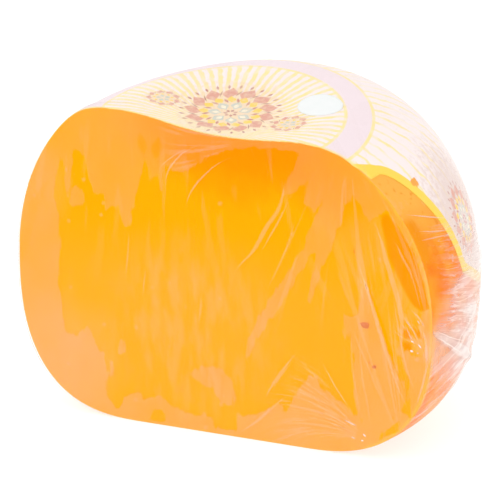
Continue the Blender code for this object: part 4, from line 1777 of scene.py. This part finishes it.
@dataclass
class RindCrumbs:
    """Scraps of rind that the knife left on the cut, pressed flat under the wrap."""

    places: tuple[tuple[float, float, float, float], ...] = (  # mm across, up and wide; degrees
        (63.7, 59.6, 4.2, 8),
        (68.3, 41.5, 2.2, -15),
        (66.2, 43.2, 0.9, 40),
        (58.9, 91.5, 0.9, 70),
        (-20.0, 18.0, 0.5, 0),
    )
    thickness: float = 0.2 * MM
    proud: float = 0.4  # how far its middle stands out of the cut, as a share of its thickness
    flat: float = 0.5  # height of a crumb, as a share of its width
    ragged: float = 0.9
    crumb: DryRindCrumb = DryRindCrumb()

    def scatter(self, points: bpy.types.Object) -> None:
        """Puts a flat ragged crumb, wider at one end, on each point, by a geometry tree.

        Args:
            points: the object that carries the points, and becomes the crumbs.
        """
        values = {"Thickness": self.thickness, "Crumb": self.crumb.material()}
        tree, given = geometry_tree("crumb_scatter", "Points", "Crumbs", values)
        ball = add(tree, "GeometryNodeMeshIcoSphere", (0.5, 3))
        place = add(tree, "GeometryNodeInputPosition")
        ragged = add(tree, "TexNoise", {"Vector": place, "Scale": 2.2}, out="Color")
        centred = add(tree, "VectorMath", (ragged, (0.5, 0.5, 0.5)), operation="SUBTRACT")
        shift = add(tree, "VectorMath", {0: centred, "Scale": self.ragged}, operation="SCALE")
        split = add(tree, "SeparateXYZ", (place,)).node.outputs
        taper = add(tree, "MapRange", (split["X"], -0.5, 0.5, -0.9, 1.1))
        pinch = add(tree, "Math", (split["Z"], taper), operation="MULTIPLY")
        wedge = add(tree, "CombineXYZ", (0.0, 0.0, pinch))
        shift = add(tree, "VectorMath", (shift, wedge), operation="ADD")
        rough = add(tree, "GeometryNodeSetPosition", {"Geometry": ball, "Offset": shift})
        width = add(tree, "GeometryNodeInputNamedAttribute", ("width",), data_type="FLOAT")
        low = add(tree, "Math", (width, self.flat), operation="MULTIPLY")
        size = add(tree, "CombineXYZ", (width, given["Thickness"], low))
        slope = add(tree, "GeometryNodeInputNamedAttribute", ("slope",), data_type="FLOAT")
        turn = add(tree, "CombineXYZ", (0.0, slope, 0.0))
        set_out = add(tree, "GeometryNodeInstanceOnPoints", {
            "Points": given["Points"], "Instance": rough, "Rotation": turn, "Scale": size,
        })
        real = add(tree, "GeometryNodeRealizeInstances", (set_out,))
        dressed = add(tree, "GeometryNodeSetMaterial", {"Geometry": real, "Material": given["Crumb"]})
        add(tree, "NodeGroupOutput", (dressed,))
        run_tree(points, tree, values)

    def build(self) -> bpy.types.Object:
        """Makes the crumbs and dresses them.

        Returns:
            The finished piece.
        """
        mesh = bpy.data.meshes.new("rind_crumbs")
        front = -BALL.cut - self.proud * self.thickness
        mesh.from_pydata([(x * MM, front, z * MM) for x, z, *_ in self.places], [], [])
        keep(mesh, "width", np.array([width * MM for _, _, width, _ in self.places]))
        keep(mesh, "slope", np.radians([slope for *_, slope in self.places]))
        crumbs = bpy.data.objects.new("rind_crumbs", mesh)
        bpy.context.scene.collection.objects.link(crumbs)
        self.scatter(crumbs)
        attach(crumbs, BODY)
        LOG.info("%s: %d faces", crumbs.name, len(crumbs.data.polygons))
        return crumbs


# ---- Studio ----------------------------------------------------------------------------------


@dataclass
class Studio:
    """A plain white sweep, soft light from all round, and the camera of the photo."""

    azimuth: float = math.radians(23.29)
    elevation: float = math.radians(18.87)
    target: tuple[float, float, float] = (0.0, 0.01435, 0.0720)
    distance: float = 1.5147
    lens: float = 252.6  # mm
    shift: tuple[float, float] = (-0.01424, 0.00470)
    floor_radius: float = 3.0
    floor_drop: float = 0.2 * MM  # so that floor and base don't coincide
    sky: float = 1.0
    floor: str = "#B0B0B0"
    floor_glow: float = 0.74

    def ways(self) -> tuple[Vector, Vector, Vector]:
        """Works out how the camera is turned.

        Returns:
            Its right, up and back directions.
        """
        turn, rise = self.azimuth, self.elevation
        flat = math.cos(rise)
        back = Vector((math.sin(turn) * flat, -math.cos(turn) * flat, math.sin(rise)))
        right = Vector((math.cos(turn), math.sin(turn), 0))
        return right, back.cross(right), back

    def set_camera(self) -> None:
        """Puts the camera where the photo was taken from."""
        data = bpy.data.cameras.new("camera")
        data.lens = self.lens
        data.sensor_width = 36
        data.shift_x, data.shift_y = self.shift
        data.clip_start, data.clip_end = 0.05, 50
        camera = bpy.data.objects.new("camera", data)
        bpy.context.scene.collection.objects.link(camera)
        right, up, back = self.ways()
        turn = Matrix((right, up, back)).transposed().to_4x4()
        camera.matrix_world = Matrix.Translation(Vector(self.target) + back * self.distance) @ turn
        bpy.context.scene.camera = camera

    def set_floor(self) -> None:
        """Lays the pale floor."""
        bm = bmesh.new()
        bmesh.ops.create_circle(bm, cap_ends=True, segments=96, radius=self.floor_radius)
        mesh = bpy.data.meshes.new("floor")
        bm.to_mesh(mesh)
        bm.free()
        floor = bpy.data.objects.new("floor", mesh)
        floor.location.z = -self.floor_drop
        bpy.context.scene.collection.objects.link(floor)
        # Painted board: matt and even, so that the floor melts into the white behind it.
        made, _, shader = new_material("matt_white_sweep")
        shader["Base Color"].default_value = colour(self.floor)
        shader["Roughness"].default_value = 0.9
        shader["Emission Color"].default_value = (1, 1, 1, 1)
        shader["Emission Strength"].default_value = self.floor_glow
        mesh.materials.append(made)

    def set_lights(self) -> None:
        """Soft light from all round, with two large soft boxes and one small strip for glints."""
        world = bpy.data.worlds.new("white_tent")
        bpy.context.scene.world = world
        world.use_nodes = True
        background = world.node_tree.nodes["Background"].inputs
        background["Color"].default_value = (1, 1, 1, 1)
        background["Strength"].default_value = self.sky
        boxes = (
            ("key_box", (-0.9, -1.6, 1.5), 1.2, 4),
            ("fill_box", (1.5, -0.9, 1.0), 0.9, 0.3),
            ("glint_strip", (0.5, -1.4, 1.9), 0.12, 0.4),
        )
        for name, place, size, power in boxes:
            data = bpy.data.lights.new(name, "AREA")
            data.size = size
            data.energy = power
            light = bpy.data.objects.new(name, data)
            light.location = place
            aim = Vector(self.target) - Vector(place)
            light.rotation_euler = aim.to_track_quat("-Z", "Y").to_euler()
            bpy.context.scene.collection.objects.link(light)

    def build(self) -> None:
        """Sets camera, floor and lights, and shows colours as they are."""
        self.set_camera()
        self.set_floor()
        self.set_lights()
        bpy.context.scene.view_settings.view_transform = "Standard"


def main() -> None:
    """Builds the pieces in order and sets the studio."""
    for maker in (CheeseBlock(), RindCrumbs(), PaperLabel(), ClearWrap(), RoundSticker()):
        piece = maker.build()
        LOG.info("built %s", piece.name)
    Studio().build()


if __name__ == "__main__":
    logging.basicConfig(level=logging.INFO, format="%(message)s")
    main()
